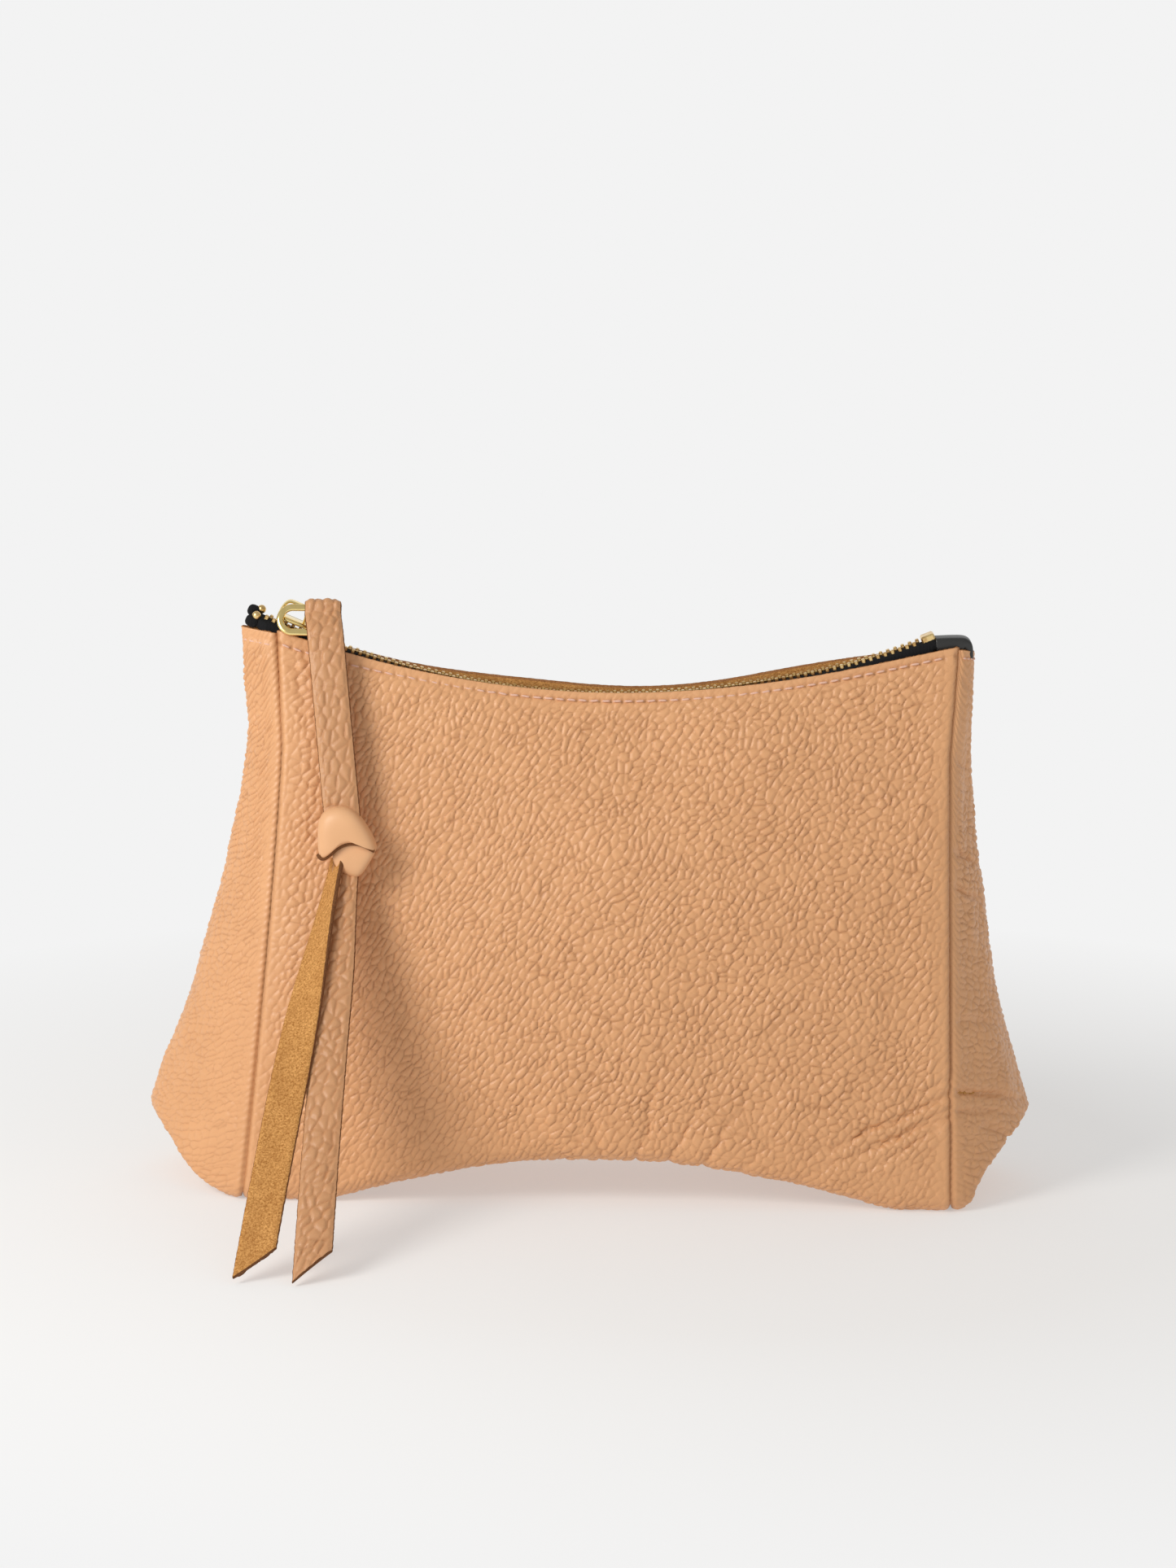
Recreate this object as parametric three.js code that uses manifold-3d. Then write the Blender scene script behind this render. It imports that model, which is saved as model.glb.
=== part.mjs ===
// Zippered leather pouch: soft shell with folded side gussets, a curved zip and a knotted leather pull.
// Millimetres, +Z up, +X along the zip towards its closed-off end, -Y towards the front panel.
import * as THREE from 'three';
import { mergeVertices } from 'three/addons/utils/BufferGeometryUtils.js';
import Module from 'manifold-3d';

const wasm = await Module();
wasm.setup();

// Driving dimensions
const LEATHER = 1.4; // thickness of the leather everywhere
const GAP = 0.3; // clearance between neighbouring pieces
const SEAM_GAP = 1.6; // how far a gusset edge stands outside a panel edge
const RIM_Z = 168; // rim height at the middle of the mouth
const RIM_RADIUS = 335; // radius of the concave rim
const RIM_HALF = 6; // half the closed mouth's thickness
const BASE_HALF = 40; // half the depth at the bottom
const ROLL = 6; // radius of the bottom roll
const ARCH_RISE = 16; // how far the bottom arches up in the middle
const ARCH_HALF = 98; // half the length of the arched stretch
const BASE_EDGE = 26.5; // half width of the base panel
const ROLL_INNER = 28.3; // inner edge of the part of a panel that turns under
const SEAM_X = 111.3; // half width of a panel at its narrowest
const SEAM_FLARE = 6.5; // how much wider it is at the bottom
const RIDGE_X = 121; // half width over the gusset ridges at the waist
const RIDGE_FLARE = 38; // extra half width towards the bottom, before the lower facet cuts it off
const WAIST_Z = 150;
const TIP_X = 151; // where the gusset folds out furthest
const TIP_Z = 24;
const GUSSET_TOP = 185;
const ZIP_Z = 166.5; // zip's centre line at the middle
const ZIP_RADIUS = 280;
const TOOTH_PITCH = 2.4;
const TOOTH = { inner: 0.7, root: 2.4, outer: 3.5, half: 1.3, length: 1.3 };
const TAPE = { inner: 3.8, outer: 4.3, rise: 1.2, hem: 11 };
const SLIDER_X = -104; // slider's middle when the zip is shut
const SLIDER = { half: 7, topHalf: 3.8, lowHalf: 3.3, under: 2.3, top: 3.3, floor: -1.7, bottom: -2.8 };
const BRIDGE = { from: -7, to: 2.2, foot: 0.8, halfWidth: 0.8, under: 8.2, top: 9.2 };
const PULLER = { pivotX: -4.2, pivotZ: 6.3, length: 21.5, halfWidth: 4.9, wire: 0.8 };
const PULLER_HOLD = 0.5; // where on the ring's end arc the bridge holds it, from its nose down
const PULLER_TILT = 0.7; // how far the ring stands up, its upper bar forward
const STOP_X = 107.2; // bottom stop
const TAB = { x: 110.6, z: 185.5, length: 10.4, height: 4.4, halfWidth: 4.4 };
const STRAP_WIDTH = 12;
const STRAP_X = -94; // strap's middle where it folds over the puller
const STRAP_DRIFT = 7.5; // how far it drifts sideways down to the knot
const STRAP_EYE = 1.15; // inner radius where it wraps round the puller
const STRAP_NECK = [-1.4, -3]; // y and z from the ring's upper bar to where the two layers meet
const KNOT = { x: -85.5, y: -32, z: 125, halfX: 9.6, halfY: 5.2, halfZ: 10.5 };
const TAIL_SLANT = 11.5; // how much longer one edge of a tail is than the other
const FRONT_TO_BACK = 46.6; // shifts the pouch so that the whole stands centred over the origin

const material = {
  leather: { color: 0xd9a17a, roughness: 0.6, metalness: 0 },
  strap: { color: 0xd6a078, roughness: 0.6, metalness: 0 },
  thread: { color: 0xe3bfa8, roughness: 0.7, metalness: 0 },
  tape: { color: 0x1c1b1a, roughness: 0.9, metalness: 0 },
  tab: { color: 0x141414, roughness: 0.5, metalness: 0 },
  brass: { color: 0xc9a052, roughness: 0.35, metalness: 1 },
  gold: { color: 0xe2cf7c, roughness: 0.2, metalness: 1 },
};

const lerp = (a, b, t) => a + (b - a) * t;
const steps = (n, from, to) => Array.from({ length: n + 1 }, (_, i) => lerp(from, to, i / n));
const circleRise = (x, radius) => radius - Math.sqrt(radius * radius - x * x);
const rimZ = (x) => RIM_Z + circleRise(x, RIM_RADIUS);
const zipZ = (x) => ZIP_Z + circleRise(x, ZIP_RADIUS);
const archZ = (x) => ARCH_RISE * Math.max(0, 1 - (x / ARCH_HALF) ** 2) ** 1.2;
const belowWaist = (z) => Math.max(0, (WAIST_Z - z) / WAIST_Z);
const seamX = (z) => SEAM_X + SEAM_FLARE * belowWaist(z) ** 1.5;
const ridgeX = (z) => RIDGE_X + RIDGE_FLARE * belowWaist(z) ** 1.6;

// Half depth of the shell at a height above its own bottom edge
function wallDepth(height, full) {
  if (height < ROLL) return BASE_HALF - ROLL + Math.sqrt(ROLL ** 2 - (ROLL - height) ** 2);
  return lerp(BASE_HALF, RIM_HALF, (height - ROLL) / (full - ROLL));
}

function solid(points, faces) {
  const geometry = new THREE.BufferGeometry();
  geometry.setAttribute('position', new THREE.Float32BufferAttribute(points.flat(), 3));
  let volume = 0;
  for (const [a, b, c] of faces) {
    const [p, q, r] = [a, b, c].map((i) => new THREE.Vector3(...points[i]));
    volume += p.dot(q.cross(r));
  }
  geometry.setIndex(faces.flatMap(([a, b, c]) => (volume > 0 ? [a, b, c] : [a, c, b])));
  return geometry;
}

// Closed solid between two matching grids of points, an outer and an inner skin
function skins(outer, inner) {
  const rows = outer.length;
  const cols = outer[0].length;
  const points = [...outer.flat(), ...inner.flat()];
  const at = (side, i, j) => side * rows * cols + i * cols + j;
  const faces = [];
  const quad = (a, b, c, d) => faces.push([a, b, c], [a, c, d]);
  for (let i = 0; i + 1 < rows; i += 1) {
    for (let j = 0; j + 1 < cols; j += 1) {
      quad(at(0, i, j), at(0, i, j + 1), at(0, i + 1, j + 1), at(0, i + 1, j));
      quad(at(1, i, j), at(1, i + 1, j), at(1, i + 1, j + 1), at(1, i, j + 1));
    }
    quad(at(0, i, 0), at(0, i + 1, 0), at(1, i + 1, 0), at(1, i, 0));
    quad(at(0, i, cols - 1), at(1, i, cols - 1), at(1, i + 1, cols - 1), at(0, i + 1, cols - 1));
  }
  for (let j = 0; j + 1 < cols; j += 1) {
    quad(at(0, 0, j), at(1, 0, j), at(1, 0, j + 1), at(0, 0, j + 1));
    quad(at(0, rows - 1, j), at(0, rows - 1, j + 1), at(1, rows - 1, j + 1), at(1, rows - 1, j));
  }
  return solid(points, faces);
}

// Leather sheet on a surface given by rows and columns of points; inward is a point on its inner side
function leatherSheet(grid, inward) {
  const at = (i, j) => {
    const row = grid[Math.min(Math.max(i, 0), grid.length - 1)];
    return new THREE.Vector3(...row[Math.min(Math.max(j, 0), row.length - 1)]);
  };
  const inner = grid.map((row, i) =>
    row.map((p, j) => {
      const across = at(i, j + 1).sub(at(i, j - 1));
      const along = at(i + 1, j).sub(at(i - 1, j));
      const normal = across.cross(along).normalize();
      const here = new THREE.Vector3(...p);
      if (normal.dot(inward.clone().sub(here)) < 0) normal.negate();
      return here.addScaledVector(normal, LEATHER).toArray();
    }),
  );
  return skins(grid, inner);
}

function toManifold(geometry) {
  const plain = new THREE.BufferGeometry();
  plain.setAttribute('position', geometry.getAttribute('position'));
  if (geometry.index) plain.setIndex(geometry.index);
  const merged = mergeVertices(plain, 1e-4);
  return new wasm.Manifold(
    new wasm.Mesh({
      numProp: 3,
      vertProperties: new Float32Array(merged.getAttribute('position').array),
      triVerts: new Uint32Array(merged.index.array),
    }),
  );
}

function fromManifold(manifold) {
  const mesh = manifold.getMesh();
  const geometry = new THREE.BufferGeometry();
  geometry.setAttribute('position', new THREE.BufferAttribute(new Float32Array(mesh.vertProperties), 3));
  geometry.setIndex(new THREE.BufferAttribute(new Uint32Array(mesh.triVerts), 1));
  return geometry;
}

const joined = (...pieces) => fromManifold(pieces.map(toManifold).reduce((a, b) => a.add(b)));

function block(x0, x1, y0, y1, z0, z1) {
  const geometry = new THREE.BoxGeometry(x1 - x0, y1 - y0, z1 - z0);
  return geometry.translate((x0 + x1) / 2, (y0 + y1) / 2, (z0 + z1) / 2);
}

const pouch = new THREE.Group();
pouch.position.y = FRONT_TO_BACK;

function add(name, geometry, look) {
  const mesh = new THREE.Mesh(geometry, new THREE.MeshStandardMaterial(look));
  mesh.name = name;
  pouch.add(mesh);
  return mesh;
}

// Front or back panel, from the strip that turns under the bottom up to the rim; side is -1 or 1
function panel(side) {
  const across = steps(18, -1, 1);
  const low = [0, 1.2, 3.2].map((height) => ({ height }));
  const rows = [{ y: ROLL_INNER }, ...low, ...steps(7, 0, 1).map((part) => ({ part }))];
  const grid = rows.map((row) =>
    across.map((u) => {
      const bottom = archZ(u * seamX(0));
      let z = bottom + (row.height ?? 0);
      if (row.part !== undefined) z = lerp(bottom + ROLL, rimZ(u * SEAM_X), row.part);
      const x = u * (seamX(z) - GAP);
      const depth = row.y ?? wallDepth(z - bottom, rimZ(x) - bottom);
      return [x, side * depth, z];
    }),
  );
  return leatherSheet(grid, new THREE.Vector3(0, 0, 90));
}

function basePanel() {
  const columns = [-seamX(0) + GAP, ...steps(14, -ARCH_HALF, ARCH_HALF), seamX(0) - GAP];
  const skin = (rise) => columns.map((x) => [-1, 1].map((side) => [x, side * BASE_EDGE, archZ(x) + rise]));
  return skins(skin(0), skin(LEATHER));
}

// Side gusset: folded outwards along a rounded ridge, and cut back under by a lower facet below the tip
function gusset(side) {
  const heights = [0.4, 6, 12, 18, 24, 30, 36, 46, 62, 85, 115, 150, GUSSET_TOP];
  const crease = 1.6; // radius-like softness where the two facets meet
  const softMin = (a, b) => -crease * Math.log(Math.exp(-a / crease) + Math.exp(-b / crease));
  const grid = heights.map((z) => {
    const edge = seamX(z) + SEAM_GAP;
    const depth = wallDepth(z, rimZ(SEAM_X));
    return steps(12, -1, 1).map((s) => {
      const upper = edge + (ridgeX(z) - edge) * (1 - Math.abs(s) ** 1.5);
      const lower = lerp(seamX(0) + SEAM_GAP + crease, TIP_X, z / TIP_Z);
      return [side * Math.max(softMin(upper, lower), edge - 0.4), s * depth, z];
    });
  });
  return leatherSheet(grid, new THREE.Vector3(0, 0, 80));
}

function zipTape(side, from, to) {
  const inside = SEAM_X - 2; // the hem hangs only between the gussets
  const middle = steps(24, -inside, Math.min(to, inside));
  const columns = [from, -inside - 0.6, ...middle, ...(to > inside ? [inside + 0.6, to] : [])];
  const hem = (x) => (Math.abs(x) > inside ? GUSSET_TOP + 2 : rimZ(x) - TAPE.hem);
  const skin = (y) => columns.map((x) => [hem(x), zipZ(x) + TAPE.rise].map((z) => [x, side * y, z]));
  return skins(skin(TAPE.outer), skin(TAPE.inner));
}

// Row of teeth on a cord, bent along the zip's arc
function zipTeeth(side, from, to) {
  const count = Math.floor((to - from) / TOOTH_PITCH);
  const points = [];
  const faces = [];
  const quad = (a, b, c, d) => faces.push([a, b, c], [a, c, d]);
  const place = (s, y, up) => {
    const angle = s / ZIP_RADIUS;
    const radius = ZIP_RADIUS - up;
    points.push([radius * Math.sin(angle), side * y, ZIP_Z + ZIP_RADIUS - radius * Math.cos(angle)]);
    return points.length - 1;
  };
  const frameAt = (s, y) => [place(s, y, -TOOTH.half), place(s, y, TOOTH.half)];
  const station = (s) => ({ out: frameAt(s, TOOTH.outer), root: frameAt(s, TOOTH.root), s });
  const stations = [station(from)];
  for (let i = 0; i < count; i += 1) {
    const start = from + i * TOOTH_PITCH + (TOOTH_PITCH - TOOTH.length) / 2;
    stations.push(station(start), station(start + TOOTH.length));
  }
  stations.push(station(from + count * TOOTH_PITCH));
  for (let i = 0; i + 1 < stations.length; i += 1) {
    const [a, b] = [stations[i], stations[i + 1]];
    quad(a.out[0], b.out[0], b.out[1], a.out[1]);
    quad(a.out[1], b.out[1], b.root[1], a.root[1]);
    quad(a.out[0], a.root[0], b.root[0], b.out[0]);
    if (i % 2 === 0) {
      quad(a.root[0], a.root[1], b.root[1], b.root[0]);
      continue;
    }
    const [c, d] = [frameAt(a.s, TOOTH.inner), frameAt(b.s, TOOTH.inner)];
    quad(a.root[1], b.root[1], d[1], c[1]);
    quad(a.root[0], c[0], d[0], b.root[0]);
    quad(c[0], c[1], d[1], d[0]);
    quad(a.root[0], a.root[1], c[1], c[0]);
    quad(b.root[0], d[0], d[1], b.root[1]);
  }
  const [first, last] = [stations[0], stations[stations.length - 1]];
  quad(first.out[0], first.out[1], first.root[1], first.root[0]);
  quad(last.out[0], last.root[0], last.root[1], last.out[1]);
  return solid(points, faces);
}

// Sets a piece made flat at the origin onto the zip's arc
function onZip(mesh, x) {
  mesh.position.set(x, 0, zipZ(x));
  mesh.rotation.y = -Math.asin(x / ZIP_RADIUS);
  return mesh;
}

function topStop(side) {
  return new THREE.CapsuleGeometry(1.2, 0.4, 3, 8).rotateX(Math.PI / 2).translate(0, side * 2.1, 0.2);
}

function sliderBody() {
  const { half, topHalf, lowHalf, under, top, floor, bottom } = SLIDER;
  const foot = (x) => block(x, x + BRIDGE.foot, -BRIDGE.halfWidth, BRIDGE.halfWidth, top - 0.2, BRIDGE.top);
  return joined(
    block(-half, half, -topHalf, topHalf, under, top),
    block(-half, half, -lowHalf, lowHalf, bottom, floor),
    block(-half, -half + 3.5, -0.4, 0.4, bottom + 0.2, top - 0.2),
    foot(BRIDGE.from),
    foot(BRIDGE.to - BRIDGE.foot),
    block(BRIDGE.from, BRIDGE.to, -BRIDGE.halfWidth, BRIDGE.halfWidth, BRIDGE.under, BRIDGE.top),
  );
}

// Closed oval of round wire, standing up at a slant, with the point that the bridge holds at the origin
function pullerRing() {
  const { halfWidth, length, wire } = PULLER;
  const end = (x, from) => steps(6, from, from + Math.PI).map((a) =>
    new THREE.Vector3(x + halfWidth * Math.cos(a), halfWidth * Math.sin(a), 0));
  const loop = [...end(length - halfWidth, -Math.PI / 2), ...end(halfWidth, Math.PI / 2)];
  const upright = new THREE.Vector3(0, 0, 1);
  const rings = loop.map((p, i) => {
    const before = loop[(i + loop.length - 1) % loop.length];
    const after = loop[(i + 1) % loop.length];
    const out = after.clone().sub(before).normalize().cross(upright);
    return steps(7, 0, (7 / 8) * 2 * Math.PI).map((a) =>
      p.clone().addScaledVector(out, wire * Math.cos(a))
        .addScaledVector(upright, wire * Math.sin(a)).toArray());
  });
  const faces = [];
  const at = (i, j) => (i % rings.length) * 8 + (j % 8);
  for (let i = 0; i < rings.length; i += 1) {
    for (let j = 0; j < 8; j += 1) {
      faces.push([at(i, j), at(i + 1, j), at(i + 1, j + 1)], [at(i, j), at(i + 1, j + 1), at(i, j + 1)]);
    }
  }
  const nose = halfWidth * (1 - Math.cos(PULLER_HOLD));
  const below = halfWidth * Math.sin(PULLER_HOLD);
  return solid(rings.flat(), faces).translate(-nose, -below, 0).rotateX(-PULLER_TILT);
}

// Middle of the ring's upper bar, from the point that the bridge holds
function upperBar() {
  const reach = PULLER.halfWidth * (1 + Math.sin(PULLER_HOLD));
  return new THREE.Vector3(0, -reach * Math.cos(PULLER_TILT), reach * Math.sin(PULLER_TILT));
}

// Black leather tab folded over the closed-off end of the zip, bent down at its rounded end
function endTab() {
  const { x, z, length, height, halfWidth } = TAB;
  const shape = new THREE.Shape();
  shape.moveTo(0, 0);
  shape.lineTo(0, height - 0.5);
  shape.lineTo(length * 0.6, height);
  shape.quadraticCurveTo(length * 0.92, height, length, 0);
  shape.closePath();
  const options = { depth: 2 * halfWidth, bevelEnabled: false, curveSegments: 5 };
  const geometry = new THREE.ExtrudeGeometry(shape, options);
  return geometry.rotateX(Math.PI / 2).translate(x, halfWidth, z);
}

// Thread of the topstitching, along a panel just under its rim
function topstitch(side) {
  const path = steps(30, -SEAM_X + 1, SEAM_X - 1).map((x) => {
    const z = rimZ(x) - 3.5;
    return new THREE.Vector3(x, side * (wallDepth(z - archZ(x), rimZ(x) - archZ(x)) + 0.75), z);
  });
  const thread = new THREE.Shape(steps(5, 0, (5 / 6) * 2 * Math.PI).map((a) =>
    new THREE.Vector2(0.35 * Math.cos(a), 0.35 * Math.sin(a))));
  const curve = new THREE.CatmullRomCurve3(path);
  return new THREE.ExtrudeGeometry(thread, { steps: 30, bevelEnabled: false, extrudePath: curve });
}

// Points of an open line moved sideways by a distance
function offsetLine(line, distance) {
  return line.map((p, i) => {
    const ahead = line[Math.min(i + 1, line.length - 1)].clone().sub(line[Math.max(i - 1, 0)]).normalize();
    return p.clone().add(new THREE.Vector2(-ahead.y, ahead.x).multiplyScalar(distance));
  });
}

// Strap doubled over the ring's upper bar; bar is the bar's centre
function pullStrap(bar) {
  const end = [KNOT.y - bar.y, KNOT.z + KNOT.halfZ + 1.2 - bar.z];
  const neck = [STRAP_NECK, end].map(([y, z]) => new THREE.Vector2(y, z));
  const start = neck[0].angle();
  const round = (radius) => steps(8, start - Math.PI / 2, start + Math.PI / 2 - 2 * Math.PI).map((a) =>
    new THREE.Vector2(radius * Math.cos(a), radius * Math.sin(a)));
  const close = GAP / 2;
  const layer = (side, distance) => offsetLine(neck, side * distance);
  const outline = [
    ...layer(1, close + LEATHER).reverse(), ...round(STRAP_EYE + LEATHER).reverse(),
    ...layer(-1, close + LEATHER),
    ...layer(-1, close).reverse(), ...round(STRAP_EYE), ...layer(1, close),
  ];
  const options = { depth: STRAP_WIDTH, bevelEnabled: false };
  const geometry = new THREE.ExtrudeGeometry(new THREE.Shape(outline), options);
  const position = geometry.getAttribute('position');
  for (let i = 0; i < position.count; i += 1) {
    const [y, z, x] = [position.getX(i), position.getY(i), position.getZ(i) - STRAP_WIDTH / 2];
    const drift = (STRAP_DRIFT * Math.max(0, -z)) / (bar.z - KNOT.z);
    position.setXYZ(i, bar.x + x + drift, bar.y + y, bar.z + z);
  }
  return geometry;
}

function knot() {
  const profile = steps(8, -Math.PI / 2, Math.PI / 2).map((a) =>
    new THREE.Vector2(Math.cos(a) ** 0.7, Math.sin(a)));
  const band = new THREE.LatheGeometry(profile, 16).rotateX(Math.PI / 2);
  band.scale(KNOT.halfX, KNOT.halfY, KNOT.halfZ * 0.68).rotateY(0.25).translate(-1.2, 0, 3);
  const tuck = new THREE.LatheGeometry(profile, 12).rotateX(Math.PI / 2);
  tuck.scale(6.8, KNOT.halfY - 0.6, KNOT.halfZ * 0.62).rotateY(-0.3).translate(2.8, -0.4, -4);
  return joined(band, tuck).translate(KNOT.x, KNOT.y, KNOT.z);
}

// Flat tail with an angled cut, lying from start towards end; layer sets it in front of or behind the line
function tail(start, end, layer) {
  const length = start.distanceTo(end);
  const shape = new THREE.Shape([
    new THREE.Vector2(0, -STRAP_WIDTH / 2), new THREE.Vector2(length, -STRAP_WIDTH / 2),
    new THREE.Vector2(length - TAIL_SLANT, STRAP_WIDTH / 2), new THREE.Vector2(0, STRAP_WIDTH / 2),
  ]);
  const geometry = new THREE.ExtrudeGeometry(shape, { depth: LEATHER, bevelEnabled: false });
  const along = end.clone().sub(start).normalize();
  const across = new THREE.Vector3(1, 0, 0).addScaledVector(along, -along.x).normalize();
  const front = along.clone().cross(across);
  geometry.translate(0, 0, layer);
  return geometry.applyMatrix4(new THREE.Matrix4().makeBasis(along, across, front).setPosition(start));
}

add('front_panel', panel(-1), material.leather);
add('back_panel', panel(1), material.leather);
add('base_panel', basePanel(), material.leather);
add('left_gusset', gusset(-1), material.leather);
add('right_gusset', gusset(1), material.leather);
add('front_zip_tape', zipTape(-1, -118, 110.2), material.tape);
add('back_zip_tape', zipTape(1, -118, 104), material.tape);
add('front_zip_teeth', zipTeeth(-1, -114.9, 106.4), material.brass);
add('back_zip_teeth', zipTeeth(1, -113.7, 104.4), material.brass);
onZip(add('front_top_stop', topStop(-1), material.brass), -115.8);
onZip(add('back_top_stop', topStop(1), material.brass), -115.8);
onZip(add('bottom_stop', block(-2, 2, -3.2, 3.2, -1.8, 1.8), material.brass), STOP_X);
add('zip_end_tab', endTab(), material.tab);
add('front_topstitch', topstitch(-1), material.thread);
add('back_topstitch', topstitch(1), material.thread);

const slider = onZip(add('slider_body', sliderBody(), material.gold), SLIDER_X);
slider.updateMatrix();
const pivot = new THREE.Vector3(PULLER.pivotX, 0, PULLER.pivotZ).applyMatrix4(slider.matrix);
add('puller_loop', pullerRing().translate(...pivot.toArray()), material.gold);
const bar = upperBar().add(pivot).setX(STRAP_X);
add('pull_strap', pullStrap(bar), material.strap);
add('strap_knot', knot(), material.strap);
const knotFoot = KNOT.z - KNOT.halfZ - 1.9;
const tailTop = (x) => new THREE.Vector3(x, KNOT.y, knotFoot);
const leftTail = tail(tailTop(-88), new THREE.Vector3(-108, -131, 3.8), -1.8);
const rightTail = tail(tailTop(-86), new THREE.Vector3(-89, -132, 2.6), 0.4);
add('strap_tail_left', leftTail, material.strap);
add('strap_tail_right', rightTail, material.strap);

export default pouch;
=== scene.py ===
"""Zippered leather pouch: its leather, zip, pull and thread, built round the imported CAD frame."""

import math

import bmesh
import bpy
import numpy as np
from mathutils import Matrix, Vector


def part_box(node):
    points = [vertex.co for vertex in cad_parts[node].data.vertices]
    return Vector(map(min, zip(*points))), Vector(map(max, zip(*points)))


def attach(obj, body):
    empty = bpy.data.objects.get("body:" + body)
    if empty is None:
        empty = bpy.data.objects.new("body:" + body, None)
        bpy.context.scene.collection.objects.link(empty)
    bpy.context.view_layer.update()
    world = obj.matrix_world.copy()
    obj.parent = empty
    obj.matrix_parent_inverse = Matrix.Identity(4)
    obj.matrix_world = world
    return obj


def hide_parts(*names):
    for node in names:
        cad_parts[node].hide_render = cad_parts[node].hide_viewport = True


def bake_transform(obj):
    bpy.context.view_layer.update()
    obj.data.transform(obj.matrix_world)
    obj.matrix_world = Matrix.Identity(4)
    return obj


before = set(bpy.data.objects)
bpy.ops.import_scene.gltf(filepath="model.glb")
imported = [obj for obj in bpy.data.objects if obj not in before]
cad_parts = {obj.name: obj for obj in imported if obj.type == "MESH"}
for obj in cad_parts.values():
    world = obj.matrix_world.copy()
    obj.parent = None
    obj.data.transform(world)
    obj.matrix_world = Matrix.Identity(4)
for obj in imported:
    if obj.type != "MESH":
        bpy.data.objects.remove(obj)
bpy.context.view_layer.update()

# ---------------------------------------------------------------- driving dimensions, in mm
MM = 0.001
BASE_LO, BASE_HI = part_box("base_panel")
MIDDLE_Y = (BASE_LO.y + BASE_HI.y) / 2  # metres: the pouch's own middle in the frame
FRONT_LO, FRONT_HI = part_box("front_panel")
LEATHER = 1.4
BASE_HALF = (MIDDLE_Y - FRONT_LO.y) / MM  # half the depth at the bottom
RIM_HALF = 6.0  # half the closed mouth's thickness
ROLL = 6.0  # radius of the roll along the bottom
ROLL_INNER = 27.6  # where a panel's turned-under part ends
RIM_Z = FRONT_HI.z / MM - 18.9  # rim height at the middle of the mouth
ARCH_RISE = 16.1
ARCH_HALF = {-1: 91.0, 1: 99.0}  # how far the bottom's arch reaches on the left and the right
TIP_Z = 23.0  # height at which a gusset folds out furthest
FACET = 32.0  # how far the gusset's lower facet runs out from the base
SEAM_ROLL = 2.3  # radius with which leather turns in to a seam
GUSSET_TOP = {-1: (186.2, 187.5), 1: (184.6, 183.4)}  # at the seam and at the ridge
BULGE = {-1: 6.0, 1: 5.0}  # how far the front and the back wall belly out
ZIP_Z = 166.5
ZIP_RADIUS = 280.0
TOOTH_PITCH = 2.4
STITCH_PITCH = 3.8
STITCH_DROP = 2.6  # topstitching below the rim
THREAD_WIDE = 0.75
THREAD_HIGH = 0.8
SLIDER_X = -104.0
STRAP_X = -94.4
STRAP_WIDTH = 12.0
STRAP_THICK = 1.5
TAIL_SLANT = 11.5  # how much longer a tail is along one edge than along the other
FINE = 0.42  # grid spacing of the outer leather


def lerp(a, b, t):
    return a + (b - a) * t


def smooth(low, high, x):
    t = np.clip((x - low) / (high - low), 0, 1)
    return t * t * (3 - 2 * t)


def metres(points):
    return np.asarray(points, float) * MM + np.array([0, MIDDLE_Y, 0])


def arc_rise(x, radius):
    return radius - np.sqrt(radius**2 - x**2)


# ---------------------------------------------------------------- the pouch's shape
# The right gusset's foot: height, and how far its lower facet stands out from the base
RIGHT_FOOT = [(0, 1.2), (0.8, 4.3), (4, 7.3), (7.4, 8.4), (13, 12.0), (19, 18.5), (25, 26), (60, 70)]


def stitch_drop(x):
    return STITCH_DROP + 1.5 * smooth(-55, -108, x)


def rim_z(x):
    left = x**2 / 625
    right = x**2 / 690 * (1 - 0.12 * (x / 116) ** 4)
    return RIM_Z + np.where(x < 0, left, right)


def arch_z(x):
    half = np.where(x < 0, ARCH_HALF[-1], ARCH_HALF[1])
    return ARCH_RISE * np.maximum(0, 1 - (x / half) ** 2) ** 1.15


def back_rim_z(x):
    """The back wall's rim, which shows above the zip between the middle and the right."""
    return rim_z(x) + 2.4 * np.exp(-(((x - 70) / 30) ** 2)) + 1.4 * np.exp(-(((x + 25) / 28) ** 2))


def seam_x(z, side):
    below = np.clip(150 - z, 0, 150) / 150
    above = np.clip(z - 150, 0, 40) / 36
    if side < 0:
        return 107.2 + 11 * below**1.3 + 2.3 * above
    return 114.8 + 3 * below**1.2 + 2.5 * above


def ridge_x(z, side):
    if side < 0:
        below = np.clip(155 - z, 0, 155) / 155
        above = np.clip(z - 155, 0, 40) / 29
        return 118.8 + 41 * below**1.35 + 2.7 * above**1.3
    below = np.clip(145 - z, 0, 145) / 145
    return 122.8 + 33 * below**1.6


def facet_x(z, side):
    """The gusset's lower facet, running out and up from the end of the base."""
    base_end = seam_x(0 * z, side)
    if side < 0:
        return base_end + 0.6 + FACET * np.sqrt(np.clip(z, 0, None) / TIP_Z)
    return base_end + np.interp(z, *zip(*RIGHT_FOOT))


def wall_depth(w, x, side):
    """Half depth of the wall at a share w of its height."""
    belly = np.sin(math.pi * np.clip(w, 0, 1)) ** 0.85 * np.clip(1 - (x / 122) ** 2, 0, 1) ** 0.7
    return lerp(BASE_HALF, RIM_HALF, w) + BULGE[side] * belly


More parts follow.
